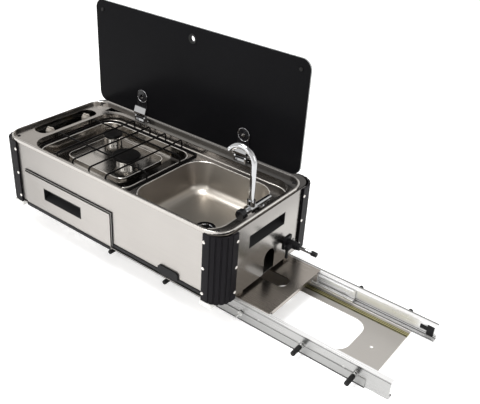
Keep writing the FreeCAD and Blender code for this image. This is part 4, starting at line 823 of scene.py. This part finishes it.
# %% Slide eyelets
low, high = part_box("rear_outer_rail")
WEB, LIP, ROW_SHIFT = 0.002, 0.0005, -0.02
BORE, FACE, NECK = 0.0017, 0.0026, 0.0030
collar = [(BORE, -LIP), (FACE, -LIP), (NECK, 0), (NECK, WEB), (FACE, WEB + LIP), (BORE, WEB + LIP)]
row = Pattern(
    "slide_eyelets", turned("collar", collar + collar[:1]), length=0.72, holes=7, web=high.y,
    level=(low.z + high.z) / 2)
collars = row.sheet(row.size("length"), 0.0, row.size("holes"), 1)
pair = []
for way in (-1, 1):
    place = row.vector(ROW_SHIFT, way * row.size("web"), row.size("level"))
    pair.append(row.moved(collars, place, (way * math.pi / 2, 0, 0)))
row.make(row.joined(pair), thread, "base", "slide_zinc")

# %% [markdown]
# A pressed opening ends in a rolled edge, and its bright line, partly a painted highlight of the pale, part
# matt edge steel, is what outlines the bowl and the well. The recess has the same line at the foot of its
# wall, and the raised table in the well has one round its top. A round wire follows a rectangle with
# filleted corners, half sunk in the sheet.


# %% Rolled edges
def rolled_edge(name, low, high, corner, level, roll):
    edge = Pattern(name, width=high[0] - low[0], depth=high[1] - low[1], corner=corner, roll=roll)
    loop = edge.outline(edge.size("width"), edge.size("depth"), edge.size("corner"))
    seat = ((low[0] + high[0]) / 2, (low[1] + high[1]) / 2, level)
    placed = edge.moved(edge.wire(loop, edge.size("roll")), seat)
    edge.make(placed, edge_highlight_steel, "housing", "top_steel")


def inset(box, distance):
    return [n + distance for n in box[0]], [n - distance for n in box[1]]


SHEET, ROLL, BEND = 0.0012, 0.0013, 0.0016
BOWL_CORNER, WELL_CORNER, RECESS_CORNER, TABLE_CORNER = 0.0614, 0.0394, 0.050, 0.0253
bowl_box, well_box, recess_box = [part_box(node) for node in ("sink_bowl", "burner_well", "recess_tray")]
rolled_edge("sink_bowl_edge", *inset(bowl_box, SHEET / 2), BOWL_CORNER, bowl_box[1].z, ROLL)
rolled_edge("burner_well_edge", *inset(well_box, SHEET / 2), WELL_CORNER, well_box[1].z, ROLL)
recess_foot = recess_box[0].z + SHEET
rolled_edge("recess_tray_edge", *inset(recess_box, SHEET + BEND / 2), RECESS_CORNER, recess_foot, BEND)
TABLE_LOW, TABLE_HIGH, TABLE_RISE = (0.086, 0.280), (0.750, 0.920), 0.008
table = [[low + share * (high - low) for low, high, share in zip(*well_box, shares)]
         for shares in (TABLE_LOW, TABLE_HIGH)]
table_top = well_box[0].z + SHEET + TABLE_RISE
rolled_edge("well_table_edge", *inset(table, ROLL / 2), TABLE_CORNER, table_top - ROLL, ROLL)

# %% [markdown]
# Each hinge leaf ends in a round cover with a bright trim. The trim is a wire round a circle, stood up and
# set twice, and it rides on the lid.

# %% Hinge trims
low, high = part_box("hinge_leaves")
LEAF, TRIM_INSET, TRIM_WIRE, LEAF_FACE = 0.040, 0.0012, 0.0009, 0.003
trim = Pattern("hinge_trims", radius=LEAF / 2 - TRIM_INSET, wire=TRIM_WIRE, spread=high.x - low.x - LEAF)
ring = trim.wire(trim.circle(trim.size("radius"), steps=40), trim.size("wire"))
stood = trim.moved(ring, (0, 0, 0), (math.pi / 2, 0, 0))
pair = [trim.moved(stood, trim.vector(half * trim.size("spread"), 0.0, 0.0)) for half in (-0.5, 0.5)]
seat = ((low.x + high.x) / 2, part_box("lid_glass")[0].y - LEAF_FACE, high.z - LEAF / 2)
trim.make(trim.moved(trim.joined(pair), seat), chrome, "lid", "chrome")
